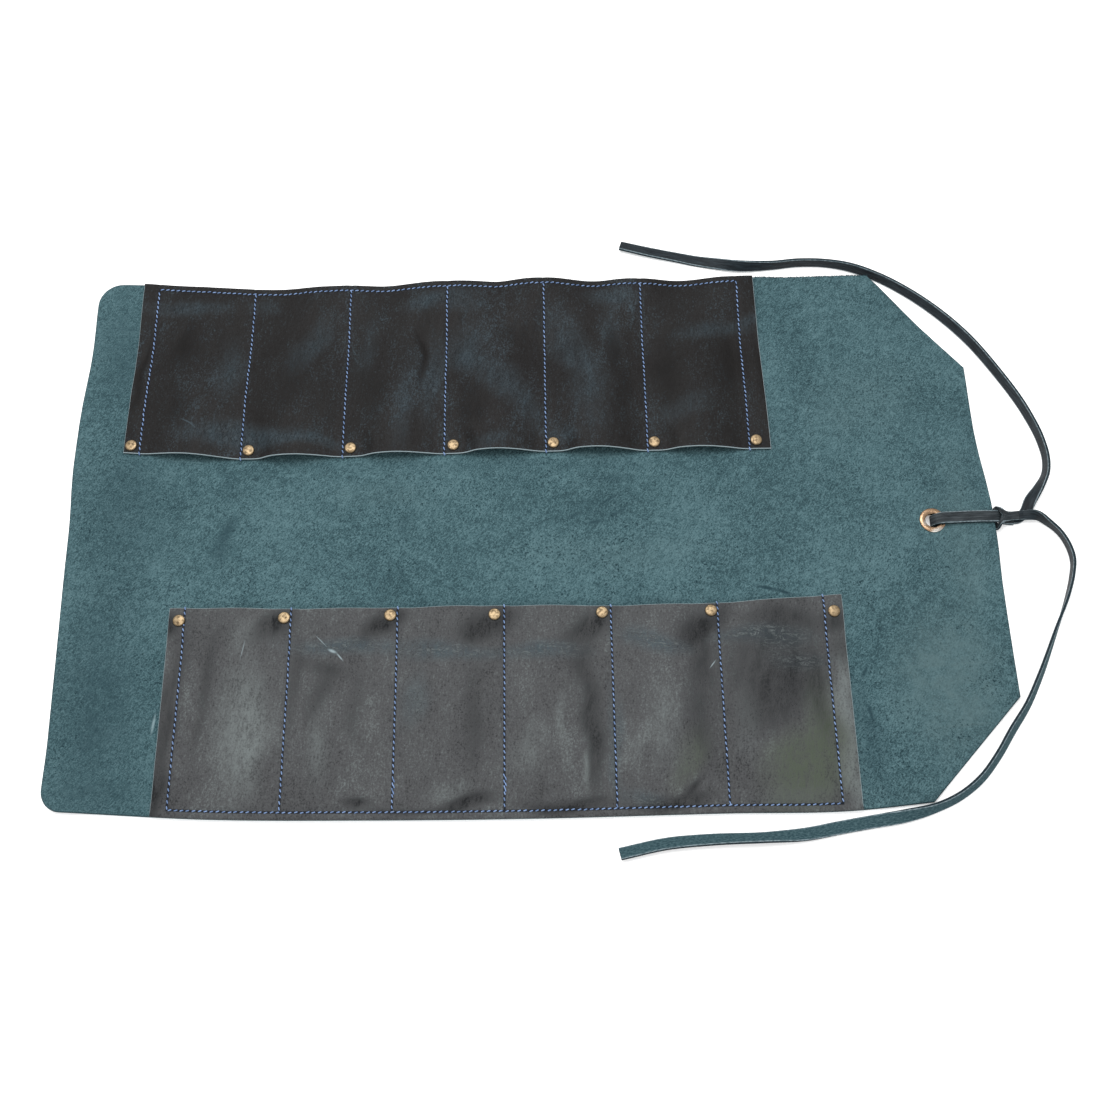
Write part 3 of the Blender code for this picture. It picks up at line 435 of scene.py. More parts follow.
UPPER_MARKS = (
    Mark("pale", -242, 173, 40, 10, -4, 0.50),
    Mark("pale", -209, 120, 34, 16, 88, 0.36),
    Mark("pale", -193, 67, 62, 12, -4, 0.62),
    Mark("pale", -152, 62, 36, 6, -4, 0.55),
    Mark("pale", -154, 138, 40, 12, 62, 0.40),
    Mark("pale", -188, 172, 16, 8, 0, 0.28),
    Mark("pale", -86, 90, 50, 9, 88, 0.34),
    Mark("pale", -67, 110, 48, 13, 86, 0.42),
    Mark("pale", -72, 174, 26, 10, 10, 0.58),
    Mark("pale", -112, 138, 34, 10, 84, 0.22),
    Mark("pale", -48, 174, 24, 14, 0, 0.42),
    Mark("pale", -40, 140, 22, 26, 0, 0.34),
    Mark("pale", -42, 127, 25, 17, -30, 0.36),
    Mark("pale", -20, 108, 38, 17, -42, 0.42),
    Mark("pale", -2, 84, 25, 14, -60, 0.32),
    Mark("pale", -24, 60, 24, 8, 0, 0.34),
    Mark("pale", 30, 138, 38, 20, -64, 0.42),
    Mark("pale", 42, 98, 42, 19, -84, 0.36),
    Mark("pale", 22, 66, 20, 9, 0, 0.34),
    Mark("pale", 61, 176, 28, 10, 0, 0.42),
    Mark("pale", 58, 150, 34, 8, 88, 0.24),
    Mark("pale", 132, 148, 37, 9, 2, 0.44),
    Mark("pale", 160, 157, 14, 6, 22, 0.50),
    Mark("pale", 106, 82, 29, 13, 24, 0.27),
    Mark("dark", -76, 132, 46, 4.5, 90, 0.90),
    Mark("dark", -71, 156, 22, 3, 84, 0.55),
    Mark("dark", -270, 120, 76, 6, 86, 0.85),
    Mark("dark", 166, 105, 60, 5, 97, 0.60),
    Mark("dark", -240, 140, 30, 17, 84, 0.65),
    Mark("dark", -244, 92, 22, 14, 84, 0.45),
    Mark("dark", -164, 112, 34, 16, 84, 0.50),
    Mark("dark", -106, 96, 34, 14, 88, 0.45),
    Mark("dark", -6, 146, 24, 15, -30, 0.50),
    Mark("dark", -38, 88, 20, 14, 80, 0.55),
    Mark("dark", 59, 130, 28, 6, 90, 0.65),
    Mark("dark", 66, 96, 34, 10, 88, 0.40),
    Mark("dark", 96, 116, 42, 15, 90, 0.60),
    Mark("dark", 140, 120, 36, 18, 92, 0.60),
)
UPPER_SCRATCHES = (
    Mark("pale", -233, 77, 8, 0.7, -28, 0.85),
    Mark("pale", -229, 74, 5, 0.6, -40, 0.85),
    Mark("pale", -275, 137, 2.0, 0.7, 0, 0.90),
)
LOWER_MARKS_AND_SHADING = (
    # The next fourteen: painted sheen and highlights on the pockets' bulges
    Mark("pale", -182, -136, 66, 25, 88, 0.68),
    Mark("pale", -176, -146, 40, 14, 86, 0.50),
    Mark("pale", -186, -74, 14, 16, 0, 0.34),
    Mark("pale", -133, -147, 34, 10, 90, 0.36),
    Mark("pale", -51, -176, 22, 10, 10, 0.34),
    Mark("pale", -75, -118, 26, 9, 84, 0.26),
    Mark("pale", 20, -136, 40, 5, 92, 0.30),
    Mark("pale", -2, -152, 26, 18, 60, 0.34),
    Mark("pale", 33, -166, 20, 3.6, 98, 0.95),
    Mark("pale", 84, -136, 40, 18, 92, 0.36),
    Mark("pale", 66, -151, 26, 12, 60, 0.30),
    Mark("pale", 134, -140, 34, 12, 90, 0.28),
    Mark("pale", 198, -140, 74, 10, 90, 0.80),
    Mark("pale", 199, -172, 30, 9, 90, 0.60),
    Mark("slate", -121, -82, 50, 10, -3, 0.62),
    Mark("slate", -54, -86, 50, 10, -2, 0.60),
    Mark("slate", 8, -88, 44, 9, -2, 0.60),
    Mark("slate", 78, -82, 34, 10, -12, 0.62),
    Mark("slate", 150, -80, 44, 11, -2, 0.62),
    Mark("slate", 172, -96, 30, 9, -10, 0.42),
    Mark("slate", -76, -118, 26, 14, 70, 0.40),
    Mark("slate", 52, -150, 50, 6, 92, 0.50),
    Mark("slate", 68, -183, 20, 8, 0, 0.42),
    Mark("green", 170, -166, 42, 34, 30, 0.95),
    Mark("pale", 166, -180, 40, 9, 8, 0.30),
    Mark("green", 184, -140, 44, 18, 96, 0.70),
    Mark("green", 98, -158, 30, 12, 60, 0.55),
    # The rest: painted shade beside the rivets and seams, in the folds and along the outer stitches
    Mark("dark", -230, -120, 80, 9, 84, 0.55),
    Mark("dark", -236, -176, 26, 12, 84, 0.90),
    Mark("dark", -236, -66, 13, 13, 0, 0.90),
    Mark("dark", -166, -68, 26, 12, 30, 0.85),
    Mark("dark", -97, -68, 26, 12, 30, 0.85),
    Mark("dark", -30, -69, 30, 13, 26, 0.90),
    Mark("dark", 38, -69, 32, 15, 36, 0.90),
    Mark("dark", 34, -94, 30, 14, 76, 0.42),
    Mark("dark", 109, -71, 28, 15, 46, 0.92),
    Mark("dark", 111, -100, 42, 13, 94, 0.52),
    Mark("dark", 162, -68, 36, 12, -4, 0.55),
    Mark("dark", 196, -70, 16, 12, 20, 0.60),
    Mark("dark", 200, -92, 20, 9, 96, 0.40),
    Mark("dark", -134, -98, 34, 10, -24, 0.42),
    Mark("dark", -136, -116, 26, 12, 70, 0.40),
    Mark("dark", -110, -125, 34, 10, 88, 0.30),
    Mark("dark", -36, -132, 44, 10, 92, 0.34),
    Mark("dark", -207, -110, 60, 7, 84, 0.36),
    Mark("dark", -154, -110, 56, 6, 84, 0.42),
    Mark("dark", 39, -140, 64, 11, 93, 0.74),
    Mark("dark", 106, -130, 52, 12, 96, 0.40),
    Mark("dark", 160, -116, 48, 24, 52, 0.46),
    Mark("dark", 152, -100, 60, 46, 60, 0.60),
    Mark("dark", 183, -116, 44, 9, 92, 0.50),
    Mark("dark", -39, -185, 24, 7.5, 6, 0.95),
    Mark("dark", -107, -186, 15, 4.5, 4, 0.85),
    Mark("dark", 22, -187, 40, 6, 0, 0.90),
    Mark("dark", 88, -186, 36, 7.5, 3, 0.90),
    Mark("dark", 99, -178, 14, 6, 50, 0.70),
    Mark("dark", -60, -188, 70, 3.5, 1, 0.45),
)
LOWER_SCRATCHES = (
    Mark("scratch", -127.5, -86.0, 4.2, 1.45, -24, 0.75),
    Mark("scratch", -122.5, -90.0, 4.6, 0.75, -50, 0.70),
    Mark("scratch", -135, -79, 7.5, 0.5, -46, 0.50),
    Mark("scratch", -185, -84, 9, 0.5, 80, 0.40),
    Mark("scratch", 116, -98, 4.4, 0.55, 52, 0.65),
)


def smooth_curve(knots, values, at):
    """A curve through a few values: cubic pieces whose slope at each knot is that between its neighbours."""
    knots = np.asarray(knots, float)
    values = np.asarray(values, float)
    slopes = np.gradient(values, knots, axis=0)
    at = np.clip(np.asarray(at, float), knots[0], knots[-1])
    index = np.clip(np.searchsorted(knots, at, side="right") - 1, 0, len(knots) - 2)
    width = knots[index + 1] - knots[index]
    t = (at - knots[index]) / width
    if values.ndim > 1:
        t = t[..., None]
        width = width[..., None]
    start = (1 + 2 * t) * (1 - t) ** 2 * values[index] + t * (1 - t) ** 2 * width * slopes[index]
    end = t * t * (3 - 2 * t) * values[index + 1] - t * t * (1 - t) * width * slopes[index + 1]
    return start + end


def fade(distance, core, reach):
    """1 up to core, then a smooth fall to 0 over reach."""
    share = np.clip((distance - core) / reach, 0, 1)
    return np.cos(share * math.pi / 2) ** 2


def ripple(x, y, wave, seed, count=7):
    """Soft uneven ground, within -1 and 1: the mean of a few sine waves of about one wavelength, each in a
    seeded direction."""
    rng = np.random.default_rng(seed)
    total = np.zeros(np.broadcast(x, y).shape)
    for angle, phase, size in zip(
        rng.uniform(0, math.pi, count), rng.uniform(0, 2 * math.pi, count), rng.uniform(0.7, 1.5, count)
    ):
        total += np.sin(2 * math.pi / (wave * size) * (x * math.cos(angle) + y * math.sin(angle)) + phase)
    return total / count


def unevenness(layers, x, y, shift=0):
    """The sum of several ripples, each times its height. shift changes their seeds."""
    return sum(layer.height * ripple(x, y, layer.wave, layer.seed + shift) for layer in layers)


def unit(vectors):
    """Each vector divided by its own length."""
    return vectors / np.linalg.norm(vectors, axis=-1, keepdims=True)


def up_from(along):
    """Unit directions square to the given ones, as near to upright as they can be."""
    return unit(UP - along * along[:, 2:])


def fine_spacing(length, step, fine=(0.0, 0.00022, 0.0005, 0.0009, 0.0015)):
    """Shares of a length: close lines near both ends, for a rounded edge, and even ones between."""
    inner = np.linspace(fine[-1], length - fine[-1], max(2, int(round(length / step))))
    return np.concatenate([fine[:-1], inner, length - np.array(fine[:-1])[::-1]]) / length


def densified(table, steps, measured=3):
    """A table of rows as a smooth curve through them, with the given number of steps from row to row.

    Its speed follows the distance between rows, measured in the first columns.
    """
    distance = np.linalg.norm(np.diff(table[:, :measured], axis=0), axis=1)
    knots = np.concatenate([[0], np.cumsum(distance)])
    rows = len(table)
    at = np.interp(np.linspace(0, rows - 1, (rows - 1) * steps + 1), np.arange(rows), knots)
    return smooth_curve(knots, table, at)


def quads(index):
    """Four-cornered faces between neighbours in a grid of point numbers."""
    corners = [index[:-1, :-1], index[:-1, 1:], index[1:, 1:], index[1:, :-1]]
    return np.stack(corners, axis=-1).reshape(-1, 4)


def point_numbers(rows, columns, around=False):
    """The numbers of a grid's points. With around, the first column comes again after the last."""
    index = np.arange(rows * columns).reshape(rows, columns)
    return np.hstack([index, index[:, :1]]) if around else index


def fan(tip, ring, turned_over=False):
    """Triangles that close a ring of points with one point."""
    after = np.roll(ring, -1)
    pair = (after, ring) if turned_over else (ring, after)
    return np.column_stack([np.full(len(ring), tip), *pair])


def rim_of(index):
    """The edge of a grid of point numbers, anticlockwise."""
    return np.concatenate([index[0, :-1], index[:-1, -1], index[-1, :0:-1], index[:0:-1, 0]])


def joined(parts):
    """Several pairs of points and groups of faces as one pair."""
    faces = []
    count = 0
    for points, groups in parts:
        faces.extend(group + count for group in groups)
        count += len(points)
    return np.vstack([points for points, groups in parts]), faces


def new_piece(name, points, faces, finishes, marks=None, finish_index=None, crease=SOFT_CREASE):
    """A mesh piece in its place. faces is a list of arrays; marks holds a number or a vector per point."""
    mesh = bpy.data.meshes.new(name)
    corners = [face for group in faces for face in group.tolist()]
    mesh.from_pydata(np.asarray(points).reshape(-1, 3).tolist(), [], corners)
    for finish in finishes:
        mesh.materials.append(finish)
    if finish_index is not None:
        mesh.polygons.foreach_set("material_index", np.asarray(finish_index, np.int32))
    for label, values in (marks or {}).items():
        values = np.asarray(values, np.float32)
        kind = "FLOAT_VECTOR" if values.ndim > 1 else "FLOAT"
        layer = mesh.attributes.new(label, kind, "POINT")
        layer.data.foreach_set("vector" if values.ndim > 1 else "value", values.ravel())
    mesh.shade_smooth()
    mesh.set_sharp_from_angle(angle=math.radians(crease))
    mesh.update()
    piece = bpy.data.objects.new(name, mesh)
    bpy.context.scene.collection.objects.link(piece)
    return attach(piece, "root")


class Finish:
    """A material's nodes, added one at a time. Lengths in its patterns are metres on Object coordinates."""

    def __init__(self, name, **sockets):
        self.material = bpy.data.materials.new(name)
        self.material.use_nodes = True
        self.tree = self.material.node_tree
        self.shader = self.tree.nodes["Principled BSDF"]
        self.place = self.add("ShaderNodeTexCoord").outputs["Object"]
        for label, value in sockets.items():
            self.shader.inputs[label.replace("_", " ")].default_value = value

    def add(self, kind, **settings):
        node = self.tree.nodes.new(kind)
        for label, value in settings.items():
            setattr(node, label, value)
        return node

    def wire(self, socket, value):
        """Links another node's output, or sets the number or colour."""
        if isinstance(value, bpy.types.NodeSocket):
            self.tree.links.new(value, socket)
        elif isinstance(value, tuple) and len(value) == 3 and socket.type == "RGBA":
            socket.default_value = (*value, 1.0)
        else:
            socket.default_value = value

    def mark(self, name, output="Fac"):
        return self.add("ShaderNodeAttribute", attribute_name=name).outputs[output]

    def math(self, operation, a, b=0.0, clamp=False):
        node = self.add("ShaderNodeMath", operation=operation, use_clamp=clamp)
        self.wire(node.inputs[0], a)
        self.wire(node.inputs[1], b)
        return node.outputs[0]

    def stretched(self, size, turn=0.0, source=None):
        """The place, divided by a size along each axis after a turn about Z in degrees."""
        node = self.add("ShaderNodeMapping", vector_type="POINT")
        spin = self.add("ShaderNodeVectorRotate", rotation_type="Z_AXIS")
        self.wire(spin.inputs["Vector"], source or self.place)
        spin.inputs["Angle"].default_value = math.radians(-turn)
        self.wire(node.inputs["Vector"], spin.outputs[0])
        node.inputs["Scale"].default_value = tuple(1 / s for s in size)
        return node.outputs[0]

    def noise(self, size, detail=2.0, rough=0.5, turn=0.0, twist=0.0, source=None):
        """Clouds of about the given size, a number or one for each axis."""
        size = size if isinstance(size, tuple) else (size,) * 3
        node = self.add("ShaderNodeTexNoise")
        self.wire(node.inputs["Vector"], self.stretched(size, turn, source))
        node.inputs["Scale"].default_value = 1.0
        node.inputs["Detail"].default_value = detail
        node.inputs["Roughness"].default_value = rough
        node.inputs["Distortion"].default_value = twist
        return node.outputs["Fac"]

    def span(self, value, low, high, to_low=0.0, to_high=1.0):
        """Maps low..high smoothly onto to_low..to_high, and holds beyond."""
        node = self.add("ShaderNodeMapRange", interpolation_type="SMOOTHSTEP")
        limits = {"From Min": low, "From Max": high, "To Min": to_low, "To Max": to_high}
        for label, number in limits.items():
            node.inputs[label].default_value = number
        self.wire(node.inputs["Value"], value)
        return node.outputs["Result"]

    def distance(self, value, level):
        """How far a value lies from a level, on either side."""
        return self.math("ABSOLUTE", self.math("SUBTRACT", value, level))

    def blend(self, share, a, b):
        """Colour a where share is 0, b where it is 1."""
        node = self.add("ShaderNodeMix", data_type="RGBA")
        self.wire(node.inputs[0], share)
        self.wire(node.inputs[6], a)
        self.wire(node.inputs[7], b)
        return node.outputs[2]

    def patch(self, mark):
        """1 in the middle of a mark's ellipse on the plan, fading out towards its rim."""
        shift = self.add("ShaderNodeVectorMath", operation="SUBTRACT")
        self.wire(shift.inputs[0], self.place)
        shift.inputs[1].default_value = (mark.x * MM, mark.y * MM, 0.0)
        scaled = self.stretched((mark.long * MM, mark.wide * MM, 10.0), mark.turn, shift.outputs[0])
        length = self.add("ShaderNodeVectorMath", operation="LENGTH")
        self.wire(length.inputs[0], scaled)
        return self.span(length.outputs["Value"], PATCH_CORE, 1.0, 1.0, 0.0)

    def sum_of(self, *layers):
        """0.5 plus each layer's difference from 0.5 times its weight."""
        total = 0.5
        for value, weight in layers:
            difference = self.math("SUBTRACT", value, 0.5)
            total = self.math("ADD", total, self.math("MULTIPLY", difference, weight))
        return total

    def ramp(self, value, dark, ground, pale):
        """Three colours at 0, 0.5 and 1."""
        colour = self.blend(self.span(value, 0.0, 0.5), dark, ground)
        return self.blend(self.span(value, 0.5, 1.0), colour, pale)

    def scratched(self, colour, marks, tones):
        """Lays narrow marks over the colour."""
        for mark in marks:
            share = self.math("MULTIPLY", self.patch(mark), mark.amount)
            colour = self.blend(share, colour, tones[mark.tone])
        return colour

    def with_marks_and_shading(self, colour, breakup, tones, names):
        """Lays each named tone over the colour at the strength the piece holds for it per point, broken up
        by a pattern; the tones are real marks and painted shade and light.
        """
        uneven = self.span(breakup, 0.25, 0.75, 0.45, 1.35)
        for name in names:
            share = self.math("MULTIPLY", self.mark(f"rub_{name}"), uneven, clamp=True)
            colour = self.blend(share, colour, tones[name])
        return colour

    def sewn_line(self):
        """1 along the stitched lines. The mark "sewn" holds a point's place among the numbered seams, and
        how far inside the outer row it lies."""
        parts = self.add("ShaderNodeSeparateXYZ")
        self.wire(parts.inputs[0], self.mark("sewn", "Vector"))
        number, inside = parts.outputs[:2]
        across = self.math("MULTIPLY", self.math("PINGPONG", number, 0.5), SEAM_PITCH)
        seams = self.math("MAXIMUM", across, self.math("MULTIPLY", inside, -1.0))
        middle = POCKET_COUNT / 2
        beyond = self.math("SUBTRACT", self.distance(number, middle), middle)
        outer = self.math("ABSOLUTE", inside)
        outer = self.math("MAXIMUM", outer, self.math("MULTIPLY", beyond, SEAM_PITCH))
        return self.span(self.math("MINIMUM", seams, outer), *SEWN_STRIPE, 1.0, 0.0)

    def relief(self, *layers):
        """Raises the surface by each (height, metres) layer in turn."""
        normal = None
        for height, depth in layers:
            bump = self.add("ShaderNodeBump", invert=depth < 0)
            bump.inputs["Distance"].default_value = abs(depth)
            self.wire(bump.inputs["Height"], height)
            if normal is not None:
                self.wire(bump.inputs["Normal"], normal)
            normal = bump.outputs[0]
        self.wire(self.shader.inputs["Normal"], normal)

    def done(self, colour, roughness=None):
        self.wire(self.shader.inputs["Base Color"], colour)
        if roughness is not None:
            self.wire(self.shader.inputs["Roughness"], roughness)
        return self.material


def suede_finish():
    """Teal rough side: cloudy colour, brushed nap, granular fibres, dark pits, rubs at the marked places."""
    finish = Finish("suede", Roughness=0.95)
    finish.shader.inputs["Specular IOR Level"].default_value = 0.10
    clouds = finish.noise(0.070, 3.0, 0.5)
    patches = finish.noise(0.010, 4.0, 0.7, twist=0.4)
    nap = finish.noise((0.0024, 0.0009, 0.002), 3.0, 0.7, turn=55.0, twist=0.5)
    grain = finish.noise(0.0009, 2.0, 0.75)
    blotches = finish.noise(0.0040, 2.0, 0.6)
    tone = finish.sum_of((clouds, 1.0), (patches, 0.85), (blotches, 0.9), (nap, 2.2), (grain, 2.8))
    colour = finish.ramp(tone, SUEDE_TONES["deep"], SUEDE_TONES["ground"], SUEDE_TONES["light"])
    colour = finish.with_marks_and_shading(colour, patches, SUEDE_TONES, ("dark", "pale"))
    colour = finish.scratched(colour, SUEDE_SCRATCHES, SUEDE_TONES)
    pits = finish.span(finish.noise(0.0015, 2.0, 0.6), 0.58, 0.68)
    patch_strength = finish.span(finish.noise(0.040, 2.0, 0.5), 0.42, 0.62, 0.25, 0.95)
    colour = finish.blend(finish.math("MULTIPLY", pits, patch_strength), colour, SUEDE_TONES["pit"])
    edge = finish.span(finish.mark("edge"), 0.2, 0.9, 0.0, 0.7)
    colour = finish.blend(edge, colour, SUEDE_TONES["edge"])
    finish.relief((finish.sum_of((nap, 1.0), (grain, 1.0)), 0.0007))
    return finish.done(colour)


def grain_finish(name, tones, scratches, roughness, gloss, marks_and_shading=("pale", "dark"), wrinkled=0.0):
    """Waxed smooth leather: pale haze over a dark ground, crinkles in the haze, fine hair marks and pores.

    tones holds the colours dark, ground and pale, and those of the other marks and scratches; the marks per
    point hold painted shade and light as well as real marks. wrinkled says how strongly fine dark lines show
    in the haze. The mark "edge" is 1 at a raw cut edge.
    """
    finish = Finish(name, Roughness=roughness)
    finish.shader.inputs["Specular IOR Level"].default_value = gloss
    wide = finish.noise((0.034, 0.056, 0.050), 3.0, 0.55, turn=-6.0)
    streaks = finish.noise((0.0060, 0.016, 0.02), 4.0, 0.65, turn=-5.0, twist=0.3)
    hairs = finish.noise((0.0011, 0.0034, 0.002), 3.0, 0.7, turn=-6.0, twist=0.6)
    pores = finish.noise(0.0012, 3.0, 0.75)
    tone = finish.sum_of((wide, 0.7), (streaks, 0.5), (hairs, 0.8), (pores, 1.3))
    colour = finish.ramp(tone, tones["dark"], tones["ground"], tones["pale"])
    colour = finish.with_marks_and_shading(colour, finish.sum_of((streaks, 0.8), (hairs, 0.9), (pores, 0.9)), tones, marks_and_shading)
    layers = [(finish.sum_of((hairs, 1.0), (pores, 0.8)), 0.00016), (streaks, 0.0005)]
    if wrinkled:
        lines = finish.noise((0.0016, 0.0050, 0.02), 3.0, 0.6, turn=-14.0, twist=1.0)
        wrinkle = finish.span(finish.distance(lines, 0.5), 0.0, 0.045, 1.0, 0.0)
        haze = finish.span(finish.mark("rub_pale"), 0.10, 0.60, 0.10, 0.70)
        wrinkle = finish.math("MULTIPLY", wrinkle, haze)
        colour = finish.blend(finish.math("MULTIPLY", wrinkle, wrinkled), colour, tones["dark"])
        layers.append((wrinkle, -0.0002))
    if "slate" in marks_and_shading:
        folds = finish.noise((0.0075, 0.0026, 0.02), 3.0, 0.55, turn=-4.0, twist=0.8)
        crinkle = finish.span(finish.distance(folds, 0.5), 0.0, 0.050, 1.0, 0.0)
        crinkle = finish.math("MULTIPLY", crinkle, finish.mark("rub_slate"))
        colour = finish.blend(crinkle, colour, tones["pale"])
        layers.append((crinkle, 0.00025))
    colour = finish.scratched(colour, scratches, tones)
    colour = finish.blend(finish.span(pores, 0.55, 0.75, 0.0, 0.20), colour, tones["dark"])
    # Painted shade of the stitch holes along the seams
    sewn = finish.math("MULTIPLY", finish.sewn_line(), 0.94)
    colour = finish.blend(sewn, colour, STITCH_HOLE_SHADE)
    edge = finish.span(finish.mark("edge"), 0.25, 0.85)
    colour = finish.blend(edge, colour, RAW_EDGE)
    finish.relief(*layers)
    shine = finish.span(streaks, 0.35, 0.75, roughness - 0.06, roughness + 0.10)
    return finish.done(colour, finish.math("MAXIMUM", shine, finish.math("MULTIPLY", edge, 0.85)))


def underside_finish():
    """The body's smooth side, which faces the table: the same waxed leather, without the marks."""
    return grain_finish("body_grain", DARK_TONES, (), 0.52, 0.25, marks_and_shading=())


def lace_finish(name, tones):
    """Waxed grain on one side, in the two tones, teal suede on the other, pale raw edges.

    The mark "strip" runs with the lace: along it, across it, and from -1, its rough side, to 1, its smooth.
    """
    finish = Finish(name, Roughness=0.55)
    finish.shader.inputs["Specular IOR Level"].default_value = 0.14
    strip = finish.mark("strip", "Vector")
    parts = finish.add("ShaderNodeSeparateXYZ")
    finish.wire(parts.inputs[0], strip)
    side = parts.outputs[2]
    streaks = finish.noise((0.012, 0.0012, 1.0), 3.0, 0.6, source=strip)
    fibres = finish.noise((0.0020, 0.0008, 1.0), 3.0, 0.6, source=strip)
    grain = finish.blend(finish.span(streaks, 0.35, 0.75), *tones)
    flesh = finish.blend(finish.span(fibres, 0.35, 0.70), *LACE_FLESH)
    cut = finish.blend(finish.span(fibres, 0.35, 0.65), *LACE_RAW)
    colour = finish.blend(finish.span(side, -0.2, 0.2), flesh, grain)
    shoulder = finish.math("ABSOLUTE", parts.outputs[1])
    colour = finish.blend(finish.span(shoulder, 0.0031, 0.0038, 0.0, 0.75), colour, cut)
    from_middle = finish.math("ABSOLUTE", side)
    middle = finish.span(from_middle, 0.80, 0.97, 1.0, 0.0)
    colour = finish.blend(middle, colour, LACE_CORE)
    rim = finish.span(finish.distance(from_middle, 0.86), 0.03, 0.13, 0.95, 0.0)
    colour = finish.blend(rim, colour, cut)
    finish.relief((fibres, 0.0003))
    rough = finish.span(finish.math("SUBTRACT", side, middle), 0.0, 0.9, 0.92, 0.50)
    return finish.done(colour, rough)


def metal_finish(name, tones, roughness, painted_highlights=()):
    """Old brass: bright and brown in random spots, finely scratched, with a silvery painted highlight at the
    marks given.
    """
    finish = Finish(name, Metallic=1.0, Roughness=roughness)
    spots = finish.noise(0.0022, 3.0, 0.6)
    scratches = finish.noise((0.0040, 0.0003, 0.002), 2.0, 0.6, turn=35.0)
    colour = finish.blend(finish.span(spots, 0.46, 0.72, 0.0, 0.75), *tones)
    colour = finish.scratched(colour, painted_highlights, {"pale": PAINTED_HIGHLIGHT_SILVER})
    finish.relief((scratches, 0.00004), (spots, 0.00005))
    return finish.done(colour, finish.span(spots, 0.35, 0.70, roughness - 0.08, roughness + 0.22))


def thread_finish():
    """Waxed thread, periwinkle blue, darker in places."""
    finish = Finish("thread", Roughness=0.62)
    tone = finish.noise(0.004, 2.0, 0.5)
    return finish.done(finish.blend(finish.span(tone, 0.35, 0.65), *THREAD))


def stage_finish(name, colour, glow):
    """Matt paper that glows a little all over, so that shadows on it stay faint."""
    finish = Finish(name, Roughness=0.9, Emission_Strength=glow)
    finish.shader.inputs["Emission Color"].default_value = (*colour, 1.0)
    return finish.done(colour)


def camera():
    """The photograph's camera: it looks at a point on the table, from a distance, an elevation, a yaw and a
    roll."""
    elevation = math.radians(CAMERA_ELEVATION)
    yaw = math.radians(CAMERA_YAW)
    roll = math.radians(CAMERA_ROLL)
    level = math.cos(elevation)
    back = Vector((math.sin(yaw) * level, -math.cos(yaw) * level, math.sin(elevation)))
    right = Vector((math.cos(yaw), math.sin(yaw), 0.0))
    up = back.cross(right)
    across = right * math.cos(roll) + up * math.sin(roll)
    upright = up * math.cos(roll) - right * math.sin(roll)
    data = bpy.data.cameras.new("camera")
    data.lens = CAMERA_LENS_MM
    data.sensor_width = CAMERA_SENSOR_MM
    data.clip_start = 0.05
    made = bpy.data.objects.new("camera", data)
    turn = Matrix((across, upright, back)).transposed()
    made.matrix_world = Matrix.Translation(Vector(CAMERA_TARGET) + back * CAMERA_DISTANCE) @ turn.to_4x4()
    bpy.context.scene.collection.objects.link(made)
    bpy.context.scene.camera = made


def strip_section():
    """A flat strip's section with rounded edges, clockwise: shares of its flats, directions of its rounds.

    A point stands at share times (half size less the round) plus direction times the round.
    """
    flat = np.linspace(-1, 1, LACE_FLAT_STEPS)[1:-1]
    arc = np.linspace(0, math.pi / 2, LACE_ARC_STEPS)
    share = []
    bend = []
    for turn, (x, z) in enumerate(((1, 1), (1, -1), (-1, -1), (-1, 1))):
        if x == z:
            share.append(np.column_stack([flat * x, np.full(len(flat), z)]))
            bend.append(np.column_stack([flat * 0, np.full(len(flat), z)]))
        angle = math.pi / 2 * (1 - turn) - arc
        share.append(np.tile([x, z], (len(arc), 1)))
        bend.append(np.column_stack([np.cos(angle), np.sin(angle)]))
    return np.vstack(share), np.vstack(bend)


def swept_strip(centre, left, up, half_width, square_side=None):
    """A flat strip carried along a path: at each station its section stands on the directions left and up.

    square_side is (side, how square from 0 to 1 at each station) for an edge that meets another strip.
    """
    share, bend = strip_section()
    half = np.broadcast_to(np.asarray(half_width, float), (len(centre),))[:, None]
    rounding = np.full((len(centre), len(share)), LACE_ROUND)
    if square_side is not None:
        side, square = square_side
        rounding *= 1 - square[:, None] * (share[:, 0] == side)
    across = share[:, 0] * (half - rounding) + bend[:, 0] * rounding
    through = share[:, 1] * (LACE_WALL / 2 - rounding) + bend[:, 1] * rounding
    ring = centre[:, None] + left[:, None] * across[..., None] + up[:, None] * through[..., None]
    step = np.linalg.norm(np.diff(centre, axis=0), axis=1)
    along = np.concatenate([[0], np.cumsum(step)])
    along = np.broadcast_to(along[:, None], across.shape)
    strip = np.stack([along, across, through / (LACE_WALL / 2)], axis=-1)
    count = len(share)
    middle = len(centre) * count
    points = np.vstack([ring.reshape(-1, 3), centre[[0, -1]]])
    strip = np.vstack([strip.reshape(-1, 3), [[along[0, 0], 0, 0], [along[-1, 0], 0, 0]]])
    first = np.arange(count)
    faces = [
        quads(point_numbers(len(centre), count, around=True))[:, ::-1],
        fan(middle, first),
        fan(middle + 1, first + middle - count, turned_over=True),
    ]
    return points, faces, strip


def tail_path(rows):
    """The middle of a loose end that rests on the table, and its unit directions across and through.

    Its middle stands at half the width times the sine of the roll, plus half the wall times the cosine.
    """
    table = np.array(rows, float) * (MM, MM, 1.0, MM)
    table[:, 0] += HALF[0]
    route = densified(table, LACE_STEPS, measured=2)
    roll = np.radians(route[:, 2])
    stand = LACE_WIDTH / 2 * np.abs(np.sin(roll)) + LACE_WALL / 2 * np.abs(np.cos(roll))
    centre = np.column_stack([route[:, :2], stand + np.maximum(route[:, 3], 0)])
    along = unit(np.gradient(centre, axis=0))
    left = unit(np.cross(UP, along))
    up = np.cross(along, left)
    turn = roll[:, None]
    return centre, np.cos(turn) * left + np.sin(turn) * up, np.cos(turn) * up - np.sin(turn) * left


